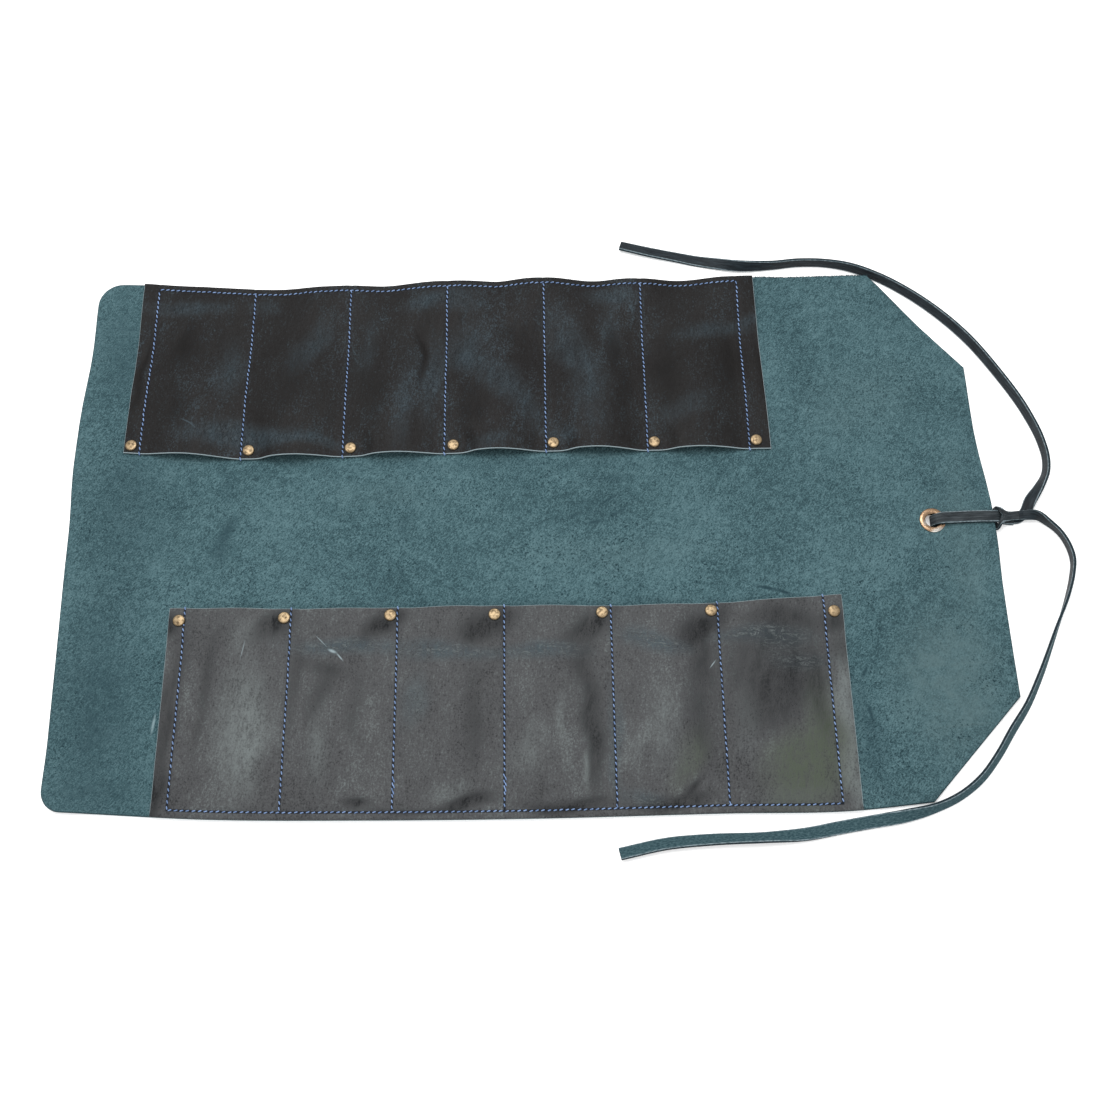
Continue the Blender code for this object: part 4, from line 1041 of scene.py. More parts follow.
def lace_tail(name, node, rows, finish):
    """One loose end of the lace, its width a little uneven as cut by hand and pinched at the knot."""
    centre, across, through = tail_path(rows)
    away = np.hypot(*(centre[:, :2] - centre[0, :2]).T)
    half = LACE_WIDTH / 2 * (1 + unevenness(LACE_CUT, centre[:, 0], centre[:, 1]))
    half *= 1 - (1 - LACE_PINCH) * fade(away, 0.0, PINCH_REACH)
    points, faces, strip = swept_strip(centre, across, through, half)
    piece = new_piece(name, points, faces, [finish], {"strip": strip}, crease=LACE_CREASE)
    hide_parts(node)
    length = float(np.linalg.norm(np.diff(centre, axis=0), axis=1).sum())
    return piece, centre, length


def lace_ends():
    """Where the panel's laced edge lies, read from the frame, and where the strand ends at the knot."""
    slit_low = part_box("lace_slit")[0]
    return slit_low.x + SLIT_LEAD, HALF[0] + UPPER_TAIL[0].x * MM - CLEARANCE


def lace_strand(finish):
    """The strand over the panel, down through the eyelet and back under the panel to its edge."""
    edge_x, knot_x = lace_ends()
    over = LACE_ROOM + BODY_WALL + CLEARANCE + LACE_WALL / 2
    flange_top = over + EYELET_FLANGE + CLEARANCE
    low = LACE_WALL / 2
    middle = LACE_ROOM + BODY_WALL / 2
    path = (
        Strand(knot_x, LACE_Y, low, 1.0),
        Strand((edge_x + 0.0058 + knot_x) / 2, LACE_Y, low + 0.0007, 1.0),
        Strand(edge_x + 0.0058, LACE_Y, over - 0.0040, 1.0),
        Strand(edge_x + 0.0036, LACE_Y, over - 0.0018, 1.0),
        Strand(edge_x + 0.0012, LACE_Y, over - 0.0002, 1.0),
        Strand(edge_x - 0.0020, LACE_Y, over, 1.0),
        Strand(edge_x - 0.0160, LACE_Y, over, 1.0),
        Strand(EYELET_X + 0.0115, LACE_Y - 0.0006, over + 0.0004, 1.0),
        Strand(EYELET_X + 0.0080, LACE_Y - 0.0009, flange_top, 1.0),
        Strand(EYELET_X + 0.0044, LACE_Y - 0.0013, flange_top, 0.96),
        Strand(EYELET_X + 0.0021, LACE_Y - 0.0017, flange_top - 0.0005, 0.90),
        Strand(EYELET_X + 0.0002, EYELET_Y, flange_top - 0.0024, 0.88),
        Strand(EYELET_X - 0.0004, EYELET_Y, middle, 0.88),
        Strand(EYELET_X + 0.0002, EYELET_Y, low + 0.0016, 0.88),
        Strand(EYELET_X + 0.0022, EYELET_Y, low + 0.0003, 0.94),
        Strand(EYELET_X + 0.0050, EYELET_Y + 0.0005, low, 0.98),
        Strand(EYELET_X + 0.0110, LACE_Y, low, 1.0),
        Strand(edge_x - 0.0070, LACE_Y, low, 1.0),
    )
    route = densified(np.array(path), KNOT_STEPS)
    centre = route[:, :3]
    left = np.tile([0.0, -1.0, 0.0], (len(centre), 1))
    up = unit(np.cross(unit(np.gradient(centre, axis=0)), left))
    points, faces, strip = swept_strip(centre, left, up, route[:, 3] * LACE_WIDTH / 2)
    piece = new_piece("lace_strand", points, faces, [finish], {"strip": strip}, crease=LACE_CREASE)
    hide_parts("lace_loop")
    return piece


def lace_slit_end(finish):
    """The lace's slit end: two strips rise at the panel's edge, pass round the strand and close over it.

    Each strip lies between an inner and an outer distance from the middle line. Where the inner distance is
    0 the two meet with square edges and read as one.
    """
    edge_x, knot_x = lace_ends()
    tail = LOWER_TAIL[0]
    knot_z = LACE_WALL / 2 + tail.rise * MM
    rim_x = edge_x + 0.0052
    high = LACE_ROOM + BODY_WALL + CLEARANCE
    half = LACE_WIDTH / 2
    rows = (
        SlitRow(edge_x - SLIT_LEAD, LACE_Y, LACE_WALL / 2, half, 0),
        SlitRow(edge_x - 0.0045, LACE_Y, LACE_WALL / 2, half, 0),
        SlitRow(edge_x - 0.0010, LACE_Y, LACE_WALL / 2, half * 1.45, half * 0.02),
        SlitRow(edge_x + 0.0013, LACE_Y, LACE_WALL / 2 + CLEARANCE, half * 1.90, half * 0.30),
        SlitRow(edge_x + 0.0017, LACE_Y, LACE_WALL + 0.0010, half * 1.92, half * 0.90),
        SlitRow(edge_x + 0.0020, LACE_Y, high - 0.0002, half * 1.85, half * 1.12),
        SlitRow(edge_x + 0.0025, LACE_Y, high + 0.0013, half * 1.66, half * 0.85),
        SlitRow(edge_x + 0.0032, LACE_Y, high + 0.0020, half * 1.46, half * 0.40),
        SlitRow(edge_x + 0.0039, LACE_Y + 0.0001, high + 0.0020, half * 1.30, 0),
        SlitRow(rim_x, LACE_Y + 0.0003, high + 0.0010, half * 1.12, 0),
        SlitRow(rim_x + (knot_x - rim_x) / 3, LACE_Y + 0.0006, (2 * high + knot_z) / 3, half * 0.90, 0),
        SlitRow(rim_x + (knot_x - rim_x) * 2 / 3, LACE_Y + 0.0012, knot_z + CLEARANCE, half * 0.80, 0),
        SlitRow(HALF[0] + tail.x * MM - CLEARANCE, tail.y * MM, knot_z, half * LACE_PINCH, 0),
    )
    route = densified(np.array(rows), KNOT_STEPS)
    inner = np.maximum(route[:, 4], 0)
    path = np.column_stack([route[:, 0], 0 * inner, route[:, 2]])
    left = np.tile([0.0, 1.0, 0.0], (len(path), 1))
    up = np.cross(unit(np.gradient(path, axis=0)), left)
    square = 1 - np.clip(inner / LACE_ROUND, 0, 1)
    parts = []
    strips = []
    for side in (-1, 1):
        centre = path + left * (route[:, 1] + side * (route[:, 3] + inner) / 2)[:, None]
        points, faces, strip = swept_strip(centre, left, up, (route[:, 3] - inner) / 2, (-side, square))
        parts.append((points, faces))
        strips.append(strip + (0, side * SLIT_STRIPS_APART, 0))
    points, faces = joined(parts)
    marks = {"strip": np.vstack(strips)}
    piece = new_piece("lace_slit_end", points, faces, [finish], marks, crease=LACE_CREASE)
    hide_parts("lace_slit")
    return piece


def fold_height(x, y):
    """The sum of the named waves, each a smooth hump with a level core."""
    height = np.zeros(np.shape(x))
    for row in FOLDS:
        away = y / HALF[1] - row.y
        falling = np.where(away > 0, row.fade_up, row.fade_down)
        level = fade(np.abs(x / HALF[0] - row.x), row.core_x, row.fade_x)
        height = height + level * fade(np.abs(away), row.core_y, falling) * row.height
    return height * WAVE_HEIGHT


def ground_height(x, y):
    """How high the body's underside stands: waves, made level under rivets and raised over the lace."""
    height = fold_height(x, y)
    over_lace = fade(np.maximum(EYELET_X - EYELET_PAD - x, 0), 0, LACE_FADE)
    over_lace = over_lace * fade(np.abs(y - EYELET_Y), EYELET_PAD, LACE_FADE)
    height = height * (1 - over_lace) + LACE_ROOM * over_lace
    for rivet_x, rivet_y in RIVETS:
        level = max(float(fold_height(rivet_x, rivet_y)), RIVET_BASE + 2 * CLEARANCE)
        near = fade(np.hypot(x - rivet_x, y - rivet_y), RIVET_RADIUS + 2 * CLEARANCE, PAD_FADE)
        height = height * (1 - near) + level * near
    return height


def steepness(height, x, y):
    """How much taller than its thickness a wall's upright height is, from a height function's slope."""
    across = (height(x + SLOPE_STEP, y) - height(x - SLOPE_STEP, y)) / (2 * SLOPE_STEP)
    along = (height(x, y + SLOPE_STEP) - height(x, y - SLOPE_STEP)) / (2 * SLOPE_STEP)
    return np.sqrt(1 + across**2 + along**2)


def body_top(x, y):
    return ground_height(x, y) + BODY_WALL * steepness(ground_height, x, y)


def corner_point(index):
    return np.array(CORNERS[index][:2]) * HALF


def side_points(index, shares):
    """Points along one side of the body's outline: on the chord of two corners, moved out by its bow."""
    start = corner_point(index)
    end = corner_point((index + 1) % len(CORNERS))
    bows = (Bow(0, 0), *BOWS[index], Bow(1, 0))
    out = smooth_curve([b.along for b in bows], [b.out for b in bows], shares) * HALF[1]
    along = unit(end - start)
    outward = np.array([along[1], -along[0]])
    return start + shares[:, None] * (end - start) + out[:, None] * outward


def laced_end(shares=None):
    """The right edge at shares of its length, from the lower cut corner to the upper one. With none given,
    the shares at which it turns."""
    way = np.linspace(0, 1, LACED_END_STEPS)
    chain = np.vstack([side_points(1, way), side_points(2, way)[1:], side_points(3, way)[1:]])
    length = np.concatenate([[0], np.cumsum(np.linalg.norm(np.diff(chain, axis=0), axis=1))])
    length /= length[-1]
    if shares is None:
        return length[LACED_END_STEPS - 1], length[2 * (LACED_END_STEPS - 1)]
    return np.column_stack([np.interp(shares, length, chain[:, k]) for k in range(2)])


def body_plan():
    """The body's outline filled with a grid: rows run along X and columns along Y.

    A point is the blend of the lower and upper edges at its share across, plus the blend of the left and
    right edges at its share up, less the blend of the four corners. The two left corners are rounded first:
    within a radius of the corner, a distance a along one edge shrinks to a * sqrt(1 - b * b / 2), with b
    along the other.
    """
    across = fine_spacing(2 * HALF[0], BODY_STEP)
    up = fine_spacing(2 * HALF[1], BODY_STEP)
    for turn in laced_end():
        up[np.argmin(np.abs(up - turn))] = turn
    u, v = np.meshgrid(across, up)
    for turn_v, radius in ((0, CORNERS[0].radius), (1, CORNERS[5].radius)):
        reach = radius * CORNER_RADIUS / (2 * HALF)
        a = np.clip(1 - u / reach[0], 0, 1)
        b = np.clip(1 - np.abs(v - turn_v) / reach[1], 0, 1)
        u = np.where(a * b > 0, (1 - a * np.sqrt(1 - b * b / 2)) * reach[0], u)
        v = np.where(a * b > 0, np.abs(turn_v - (1 - b * np.sqrt(1 - a * a / 2)) * reach[1]), v)
    shape = u.shape
    u = u.ravel()
    v = v.ravel()
    near = side_points(0, u)
    far = side_points(4, 1 - u)
    left = side_points(5, 1 - v)
    right = laced_end(v)
    near_left, near_right, far_right, far_left = (corner_point(k) for k in (0, 1, 4, 5))
    lean = (u**3)[:, None]
    v = v[:, None]
    plan = (1 - v) * near + v * far + (1 - lean) * left + lean * right
    plan -= (1 - lean) * ((1 - v) * near_left + v * far_left)
    plan -= lean * ((1 - v) * near_right + v * far_right)
    low = plan.min(axis=0)
    high = plan.max(axis=0)
    plan = (plan - (low + high) / 2) * (2 * HALF) / (high - low)
    return plan.reshape(*shape, 2)


def marks_and_shading_strength(marks, tone, x, y):
    """How strongly one tone is laid at each point, for real marks and painted shade and light alike: 1 less
    the product of what every mark of it leaves.

    A mark is an ellipse whose strength falls smoothly from its middle to its rim, on a plan that strays a
    little.
    """
    stray_x = x + unevenness(MARK_STRAY_X, x, y)
    stray_y = y + unevenness(MARK_STRAY_Y, x, y)
    left = np.ones(np.shape(x))
    for mark in marks:
        if mark.tone == tone:
            turn = math.radians(mark.turn)
            away_x = stray_x - mark.x * MM
            away_y = stray_y - mark.y * MM
            along = (away_x * math.cos(turn) + away_y * math.sin(turn)) / (mark.long * MM)
            across = (away_y * math.cos(turn) - away_x * math.sin(turn)) / (mark.wide * MM)
            left = left * (1 - mark.amount * fade(np.hypot(along, across), MARK_CORE, 1.0))
    return 1 - left


def edge_distance(plan):
    """How far each point of a grid lies from its four edges, measured square to each edge in its own row or
    column."""
    nearest = np.full(plan.shape[:2], 1.0)
    for rim, row in (
        (plan[:1], plan[1:2]),
        (plan[-1:], plan[-2:-1]),
        (plan[:, :1], plan[:, 1:2]),
        (plan[:, -1:], plan[:, -2:-1]),
    ):
        axis = 1 if rim.shape[0] == 1 else 0
        tangent = np.gradient(rim, axis=axis)
        normal = unit(np.stack([-tangent[..., 1], tangent[..., 0]], axis=-1))
        normal *= np.sign(((row - rim) * normal).sum(-1))[..., None]
        nearest = np.minimum(nearest, ((plan - rim) * normal).sum(-1))
    return np.maximum(nearest, 0)


def worn_edge(distance, radius):
    """How far a rounded edge falls below its flat face: a quarter circle of the given radius."""
    inward = np.clip(1 - distance / radius, 0, 1)
    return radius * (1 - np.sqrt(1 - inward**2))


def wall_faces(faces, loops, count):
    """Faces of a closed wall: the same plan above and below, joined along each loop of edge points."""
    groups = [faces + count, faces[:, ::-1]]
    for loop in loops:
        after = np.roll(loop, -1)
        groups.append(np.column_stack([loop, after, after + count, loop + count]))
    return groups


def body_panel(finishes):
    """The suede body: a wall between the ground height and the top, its edges rounded, with a hole in it.

    Round the eyelet's hole a square block of cells gives way to rings that pass from its rim to the circle.
    """
    plan = body_plan()
    rows, columns = plan.shape[:2]
    index = point_numbers(rows, columns)
    centre = np.array([EYELET_X, EYELET_Y])
    row, column = np.unravel_index(np.argmin(np.linalg.norm(plan - centre, axis=2)), (rows, columns))
    block_rows = slice(row - HOLE_CELLS, row + HOLE_CELLS)
    block_columns = slice(column - HOLE_CELLS, column + HOLE_CELLS)
    keep = np.ones((rows - 1, columns - 1), bool)
    keep[block_rows, block_columns] = False
    block = index[row - HOLE_CELLS : row + HOLE_CELLS + 1, column - HOLE_CELLS : column + HOLE_CELLS + 1]
    ring = rim_of(block)
    flat_plan = plan.reshape(-1, 2)
    hole = centre + unit(flat_plan[ring] - centre) * EYELET_HOLE
    shares = np.array(HOLE_RINGS)[:, None, None]
    rings = flat_plan[ring] * (1 - shares) + hole * shares
    numbers = np.vstack([ring, len(flat_plan) + point_numbers(len(HOLE_RINGS), len(ring))])
    around = np.hstack([numbers, numbers[:, :1]])
    all_plan = np.vstack([flat_plan, rings.reshape(-1, 2)])
    x, y = all_plan.T
    margin = np.concatenate([edge_distance(plan).ravel(), np.full(len(all_plan) - len(flat_plan), 1.0)])
    fall = worn_edge(margin, BODY_ROUND)
    under = np.column_stack([all_plan, ground_height(x, y) + fall])
    over = np.column_stack([all_plan, body_top(x, y) + unevenness(SUEDE_NAP, x, y) - fall])
    faces = np.vstack([quads(index)[keep.ravel()], quads(around)])
    groups = wall_faces(faces, [rim_of(index), numbers[-1][::-1]], len(all_plan))
    sides = np.concatenate([np.full(len(g), k) for g, k in zip(groups, (0, 1, 0, 0))])
    marks = {"edge": fade(np.tile(margin, 2), *BODY_RAW)}
    # Per-point strengths of the suede's marks, painted shade and light among them
    for tone in ("dark", "pale"):
        marks[f"rub_{tone}"] = np.tile(marks_and_shading_strength(SUEDE_MARKS_AND_SHADING, tone, x, y), 2)
    piece = new_piece("suede_body", np.vstack([under, over]), groups, finishes, marks, finish_index=sides)
    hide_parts("body_panel")
    rim_x, rim_y = flat_plan[rim_of(index)].T
    area = 0.5 * abs(np.sum(rim_x * np.roll(rim_y, -1) - rim_y * np.roll(rim_x, -1)))
    return piece, plan, area


class PocketRow:
    """A row of pockets: its lines in plan and its heights. side is 1 for the far row, -1 for the near."""

    def __init__(self, name, side, shift, depth, flare, trim, mouths, bulges, doubled, plan):
        self.name = name
        self.side = side
        self.flare = flare
        self.trim = trim
        self.doubled = doubled
        self.mouths = mouths
        self.bulges = np.array(bulges)
        self.left = shift - PANEL_LENGTH / 2
        self.seam_x = self.left + SEAM_MARGIN + SEAM_PITCH * np.arange(POCKET_COUNT + 1)
        self.mouth_y = side * (HALF[1] - depth)
        edge = plan[-1] if side > 0 else plan[0]
        self.edge_x = edge[:, 0]
        self.edge_y = edge[:, 1]
        self.rivets = RIVETS[: POCKET_COUNT + 1] if side > 0 else RIVETS[POCKET_COUNT + 1 :]

    def mouth(self, x):
        """Where the mouth's edge lies at x: its straight line, moved a little at each seam."""
        shifts = [shift * RIVET_INSET for shift in self.mouths]
        knots = [self.left, *self.seam_x[1:-1], self.left + PANEL_LENGTH]
        return self.mouth_y + smooth_curve(knots, shifts, x)

    def outer(self, x):
        return np.interp(x, self.edge_x, self.edge_y)

    def across(self, x):
        """How many seam pitches x lies from the first seam, its pocket's number, and its share across it."""
        place = (x - self.seam_x[0]) / SEAM_PITCH
        pocket = np.clip(np.floor(place).astype(int), 0, POCKET_COUNT - 1)
        return place, pocket, np.clip(place - pocket, 0, 1)

    def bulge(self, x, y):
        """How far the leather stands off the body: an arch between seams that dies out at the closed edge.

        It is the sine of the share across, times the cosine of the share down, each to its own power, and
        pressed flat round each rivet.
        """
        place, pocket, across = self.across(x)
        mouth_y = self.mouth(x)
        down = np.clip((y - mouth_y) / (self.outer(x) - self.side * EDGE_SEAM - mouth_y), 0, 1)
        arch = np.sin(math.pi * across) ** ARCH_POWER_ACROSS * np.cos(down * math.pi / 2) ** ARCH_POWER_DOWN
        arch = np.where((place < 0) | (place > POCKET_COUNT), 0, arch)
        arch = arch * self.clear_of_rivets(x, y, RIVET_RADIUS + 2 * CLEARANCE, PAD_FADE)
        return self.bulges[pocket] * POCKET_BULGE * arch

    def clear_of_rivets(self, x, y, core, reach):
        """0 within core of each rivet's middle, and 1 beyond its reach."""
        clear = 1.0
        for rivet_x, rivet_y in self.rivets:
            clear = clear * (1 - fade(np.hypot(x - rivet_x, y - rivet_y), core, reach))
        return clear

    def under(self, x, y):
        return body_top(x, y) + CLEARANCE + self.bulge(x, y)

    def inside_row(self, x, y):
        """How far a point lies inside the stitches along the outer edge; beyond them it is negative."""
        return (self.outer(x) - self.side * EDGE_SEAM - y) * self.side

    def seam_distance(self, x, y):
        """How far a point lies from the nearest stitched line."""
        seam = np.abs(x[..., None] - self.seam_x).min(axis=-1)
        return np.minimum(seam, np.abs(self.inside_row(x, y)))

    def groove(self, x, y):
        """How deep the stitches pull the leather in: a bell curve of the distance from the nearest line."""
        return GROOVE_DEPTH * np.exp(-((self.seam_distance(x, y) / GROOVE_WIDTH) ** 2))

    def over(self, x, y):
        return self.under(x, y) + POCKET_WALL * steepness(self.under, x, y) - self.groove(x, y)

    def grid(self):
        """Rows from the mouth to the outer edge, in order of rising y."""
        across = fine_spacing(PANEL_LENGTH, POCKET_STEP)
        depth = abs(self.outer(0.0) - self.mouth_y)
        down = fine_spacing(depth, POCKET_STEP)[:: self.side]
        share_x, share_down = np.meshgrid(across, down)
        x = self.left + share_x * PANEL_LENGTH
        x = x + self.trim * np.clip(1 - (x - self.left) / SEAM_MARGIN, 0, 1)
        flare = self.flare * (1 - share_down) * np.clip(1 - (1 - share_x) / FLARE_SHARE, 0, 1)
        y = self.mouth(x) + share_down * (self.outer(x) - self.mouth(x))
        return np.stack([x + flare, y], axis=-1)


def pocket_panel(row, finish, marks_and_shading):
    """A row's leather: a wall between its underside, an arch over each pocket, and its top.

    The top sinks where dark marks and painted shade are laid, and rises where pale marks and painted sheen
    are laid, but not at seams and rivets. The edges are rounded.
    """
    plan = row.grid()
    x = plan[..., 0]
    y = plan[..., 1]
    index = point_numbers(*x.shape)
    margin = edge_distance(plan)
    fall = worn_edge(margin, POCKET_ROUND)
    # Strength per point of each tone of marks, painted shade and light among them
    patch_strength = {tone: marks_and_shading_strength(marks_and_shading, tone, x, y) for tone in ("pale", "slate", "green", "dark")}
    dents = unevenness(POCKET_DENTS, x, y, row.side)
    dents += DENT_RISE * patch_strength["pale"] - DENT_DEPTH * patch_strength["dark"]
    dents *= 1 - fade(row.seam_distance(x, y), *SEAM_CLEAR)
    dents *= row.clear_of_rivets(x, y, RIVET_RADIUS + CLEARANCE, DENT_FADE)
    under = np.stack([x, y, row.under(x, y) + fall], axis=-1).reshape(-1, 3)
    over = np.stack([x, y, row.over(x, y) + dents - fall], axis=-1).reshape(-1, 3)
    groups = wall_faces(quads(index), [rim_of(index)], index.size)
    inside = row.inside_row(x, y)
    raw = (fade(margin, *POCKET_RAW) * fade(-inside, *OUTER_RAW)).ravel()
    sewn = np.stack([(x - row.seam_x[0]) / SEAM_PITCH, inside, 0 * x], axis=-1).reshape(-1, 3)
    marks = {"edge": np.concatenate([0 * raw, raw]), "sewn": np.vstack([sewn, sewn])}
    for tone, strength in patch_strength.items():
        marks[f"rub_{tone}"] = np.tile(strength.ravel(), 2)
    piece = new_piece(f"{row.name}_pocket_leather", np.vstack([under, over]), groups, [finish], marks)
    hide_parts(f"{row.name}_pocket_panel")
    return piece


def rods(centre, along, up, length, radius, dip):
    """Short rounded rods, all at once, each about its own middle.

    At share s from -1 to 1 along a rod its radius is radius * sqrt(1 - s**4), and its middle sinks by
    dip * s**4.
    """
    shares = np.linspace(-1, 1, ROD_RINGS)[None, :, None]
    angle = (2 * math.pi * np.arange(ROD_SIDES) / ROD_SIDES)[None, :, None]
    side = np.cross(along, up)
    middle = centre[:, None] + along[:, None] * (shares * length / 2) - up[:, None] * (dip * shares**4)
    ring = side[:, None] * np.cos(angle) + up[:, None] * np.sin(angle)
    swell = radius * np.sqrt(1 - shares[:, 1:-1, None] ** 4)
    body = middle[:, 1:-1, None] + ring[:, None] * swell
    count = len(centre)
    points = np.concatenate([middle[:, :1], body.reshape(count, -1, 3), middle[:, -1:]], axis=1)
    each = points.shape[1]
    first = 1 + np.arange(ROD_SIDES)
    faces = (
        fan(0, first, turned_over=True),
        1 + quads(point_numbers(ROD_RINGS - 2, ROD_SIDES, around=True)),
        fan(each - 1, first + ROD_SIDES * (ROD_RINGS - 3)),
    )
    shift = (np.arange(count) * each)[:, None, None]
    return points.reshape(-1, 3), [(part + shift).reshape(-1, part.shape[1]) for part in faces]


def stitch_line(start, end, lead):
    """Middles and directions of the stitches between two points in plan, a stitch every STITCH_PITCH."""
    start = np.asarray(start, float)
    end = np.asarray(end, float)
    length = np.linalg.norm(end - start)
    count = int((length - lead) / STITCH_PITCH)
    along = (end - start) / length
    at = lead + STITCH_PITCH * np.arange(count + 1)
    return start + at[:, None] * along, np.tile(along, (count + 1, 1))


def stitch_places(row):
    """Middles and directions in plan of a row's stitches: its seams, then the line along the outer edge."""
    places = []
    ways = []
    for number, seam in enumerate(row.seam_x):
        mouth = (seam, float(row.mouth(seam)))
        edge = (seam, float(row.outer(seam)) - row.side * EDGE_SEAM)
        place, way = stitch_line(mouth, edge, STITCH_LEAD)
        places.append(place)
        ways.append(way)
        if number in row.doubled:
            places.append(place[DOUBLED_STITCHES] + (DOUBLED_ASIDE, STITCH_PITCH / 2))
            ways.append(way[DOUBLED_STITCHES])
    x = np.arange(row.seam_x[0] + STITCH_PITCH / 2, row.seam_x[-1], STITCH_PITCH)
    edge_y = row.outer(x) - row.side * EDGE_SEAM
    places.append(np.column_stack([x, edge_y]))
    ways.append(np.column_stack([np.ones(len(x)), np.gradient(edge_y, x)]))
    return np.vstack(places), np.vstack(ways)


def mouth_stitches(row):
    """The stitch that wraps round the leather's edge at each seam's mouth."""
    x = row.seam_x
    y = row.mouth(x) - row.side * MOUTH_STITCH_OUT * STITCH_RADIUS
    middle = np.column_stack([x, y, (row.over(x, y) + body_top(x, y)) / 2 + STITCH_RADIUS / 2])
    along = np.tile(UP, (len(x), 1))
    out = np.tile([0.0, -float(row.side), 0.0], (len(x), 1))
    return rods(middle, along, out, POCKET_WALL + MOUTH_STITCH_OVERHANG * STITCH_RADIUS, STITCH_RADIUS, 0.0)


def row_stitches(row, finish, stitch_length, seed):
    """Every stitch of a row, above and beneath the leather: each slants a little and follows its slope."""
    rng = np.random.default_rng(seed)
    place, way = stitch_places(row)
    aside = np.column_stack([-way[:, 1], way[:, 0]])
    way += rng.normal(0, STITCH_TURN_STRAY, way.shape) + aside * STITCH_SLANT
    place = place + rng.normal(0, STITCH_STRAY, place.shape)
    x, y = place.T
    ahead = row.over(*(place + way * STITCH_SLOPE_STEP).T)
    behind = row.over(*(place - way * STITCH_SLOPE_STEP).T)
    slope = np.clip((ahead - behind) / (2 * STITCH_SLOPE_STEP), -STITCH_STEEPEST, STITCH_STEEPEST)
    along = unit(np.column_stack([way, slope]))
    level = unit(np.column_stack([way, 0 * x]))
    top = np.column_stack([x, y, row.over(x, y) + STITCH_LIFT * STITCH_RADIUS])
    bottom = np.column_stack([x, y, ground_height(x, y) + STITCH_LIFT_BENEATH * STITCH_RADIUS])
    dip = STITCH_DIP * STITCH_RADIUS
    points, faces = joined([
        rods(top, along, up_from(along), stitch_length, STITCH_RADIUS, dip),
        rods(bottom, level, np.tile(-UP, (len(x), 1)), stitch_length, STITCH_RADIUS, dip),
        mouth_stitches(row),
    ])
    piece = new_piece(f"{row.name}_stitches", points, faces, [finish])
    return piece


def edge_fibres(plan, start_x, finish, seed):
    """Torn fibres along the far edge: short rods rooted at random in it, each with its own lean."""
    rng = np.random.default_rng(seed)
    edge = plan[-1]
    x = rng.uniform(start_x, corner_point(4)[0], FIBRE_COUNT)
    y = np.interp(x, edge[:, 0], edge[:, 1]) - rng.uniform(0, FIBRE_ROOT, FIBRE_COUNT)
    z = body_top(x, y) - rng.uniform(*FIBRE_BELOW_TOP, FIBRE_COUNT)
    lean = rng.uniform(-FIBRE_LEAN, FIBRE_LEAN, FIBRE_COUNT)
    along = unit(np.column_stack([np.sin(lean), np.cos(lean), rng.uniform(*FIBRE_SLOPE, FIBRE_COUNT)]))
    root = np.column_stack([x, y, z])
    points, faces = rods(root, along, up_from(along), FIBRE_LENGTH, FIBRE_RADIUS, 0.0)
    marks = {"edge": np.ones(len(points))}
    piece = new_piece("suede_fibres", points, faces, [finish], marks, crease=FIBRE_CREASE)
    return piece


def turned(profile, centre):
    """A profile of (radius, height) turned about Z: closed by a point at each end where its radius is 0, and
    otherwise joined from its last ring to its first."""
    profile = np.array(profile, float)
    angle = 2 * math.pi * np.arange(TURNED_SIDES) / TURNED_SIDES
    solid = profile[0, 0] == 0
    radius, height = (profile[1:-1] if solid else profile).T
    flat = np.stack([np.cos(angle), np.sin(angle)], axis=-1) * radius[:, None, None]
    upright = np.broadcast_to(height[:, None, None], (len(height), TURNED_SIDES, 1))
    body = np.concatenate([flat, upright], axis=-1).reshape(-1, 3)
    index = point_numbers(len(height), TURNED_SIDES, around=True)
    if not solid:
        return body + centre, [quads(np.vstack([index, index[:1]]))]
    points = np.vstack([[0, 0, profile[0, 1]], body, [0, 0, profile[-1, 1]]])
    faces = [
        fan(0, 1 + index[0, :-1], turned_over=True),
        1 + quads(index),
        fan(len(points) - 1, 1 + index[-1, :-1]),
    ]
    return points + centre, faces


def rounded_rim(radius, height, drop, top=True):
    """Points of a quarter ellipse from a rim inwards and up, or down when top is false."""
    angle = np.linspace(0, math.pi / 2, RIM_STEPS)
    x = radius - drop[0] * (1 - np.cos(angle))
    z = height + (1 if top else -1) * drop[1] * np.sin(angle)
    return list(zip(x, z))


def rivet(name, finish):
    """A rivet: a flat base, a post, and a low dome with a rounded shoulder and a faint flat at its crown.

    At a share c of the crown's radius, the crown rises by RIVET_CROWN * (1 - c ** RIVET_CROWN_POWER).
    """
    low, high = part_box(name)
    seat = high.z - RIVET_CAP
    foot = low.z
    base_top = foot + RIVET_BASE
    rim = seat + RIVET_LIP
    shares = np.linspace(1, 0, CROWN_STEPS)[1:]
    crown_x = (RIVET_RADIUS - RIVET_SHOULDER[0]) * shares
    crown_z = rim + RIVET_SHOULDER[1] + RIVET_CROWN * (1 - shares**RIVET_CROWN_POWER)
    profile = [
        (0, foot),
        *rounded_rim(RIVET_RADIUS, foot + RIVET_FOOT_ROUND[1], RIVET_FOOT_ROUND, top=False)[::-1],
        (RIVET_RADIUS, base_top),
        (RIVET_POST, base_top),
        (RIVET_POST, seat),
        (RIVET_RADIUS, seat),
        *rounded_rim(RIVET_RADIUS, rim, RIVET_SHOULDER),
        *zip(crown_x, crown_z),
    ]
    points, faces = turned(profile, ((low.x + high.x) / 2, (low.y + high.y) / 2, 0.0))
    piece = new_piece(f"{name}_brass", points, faces, [finish], crease=METAL_CREASE)
    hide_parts(name)
    return piece


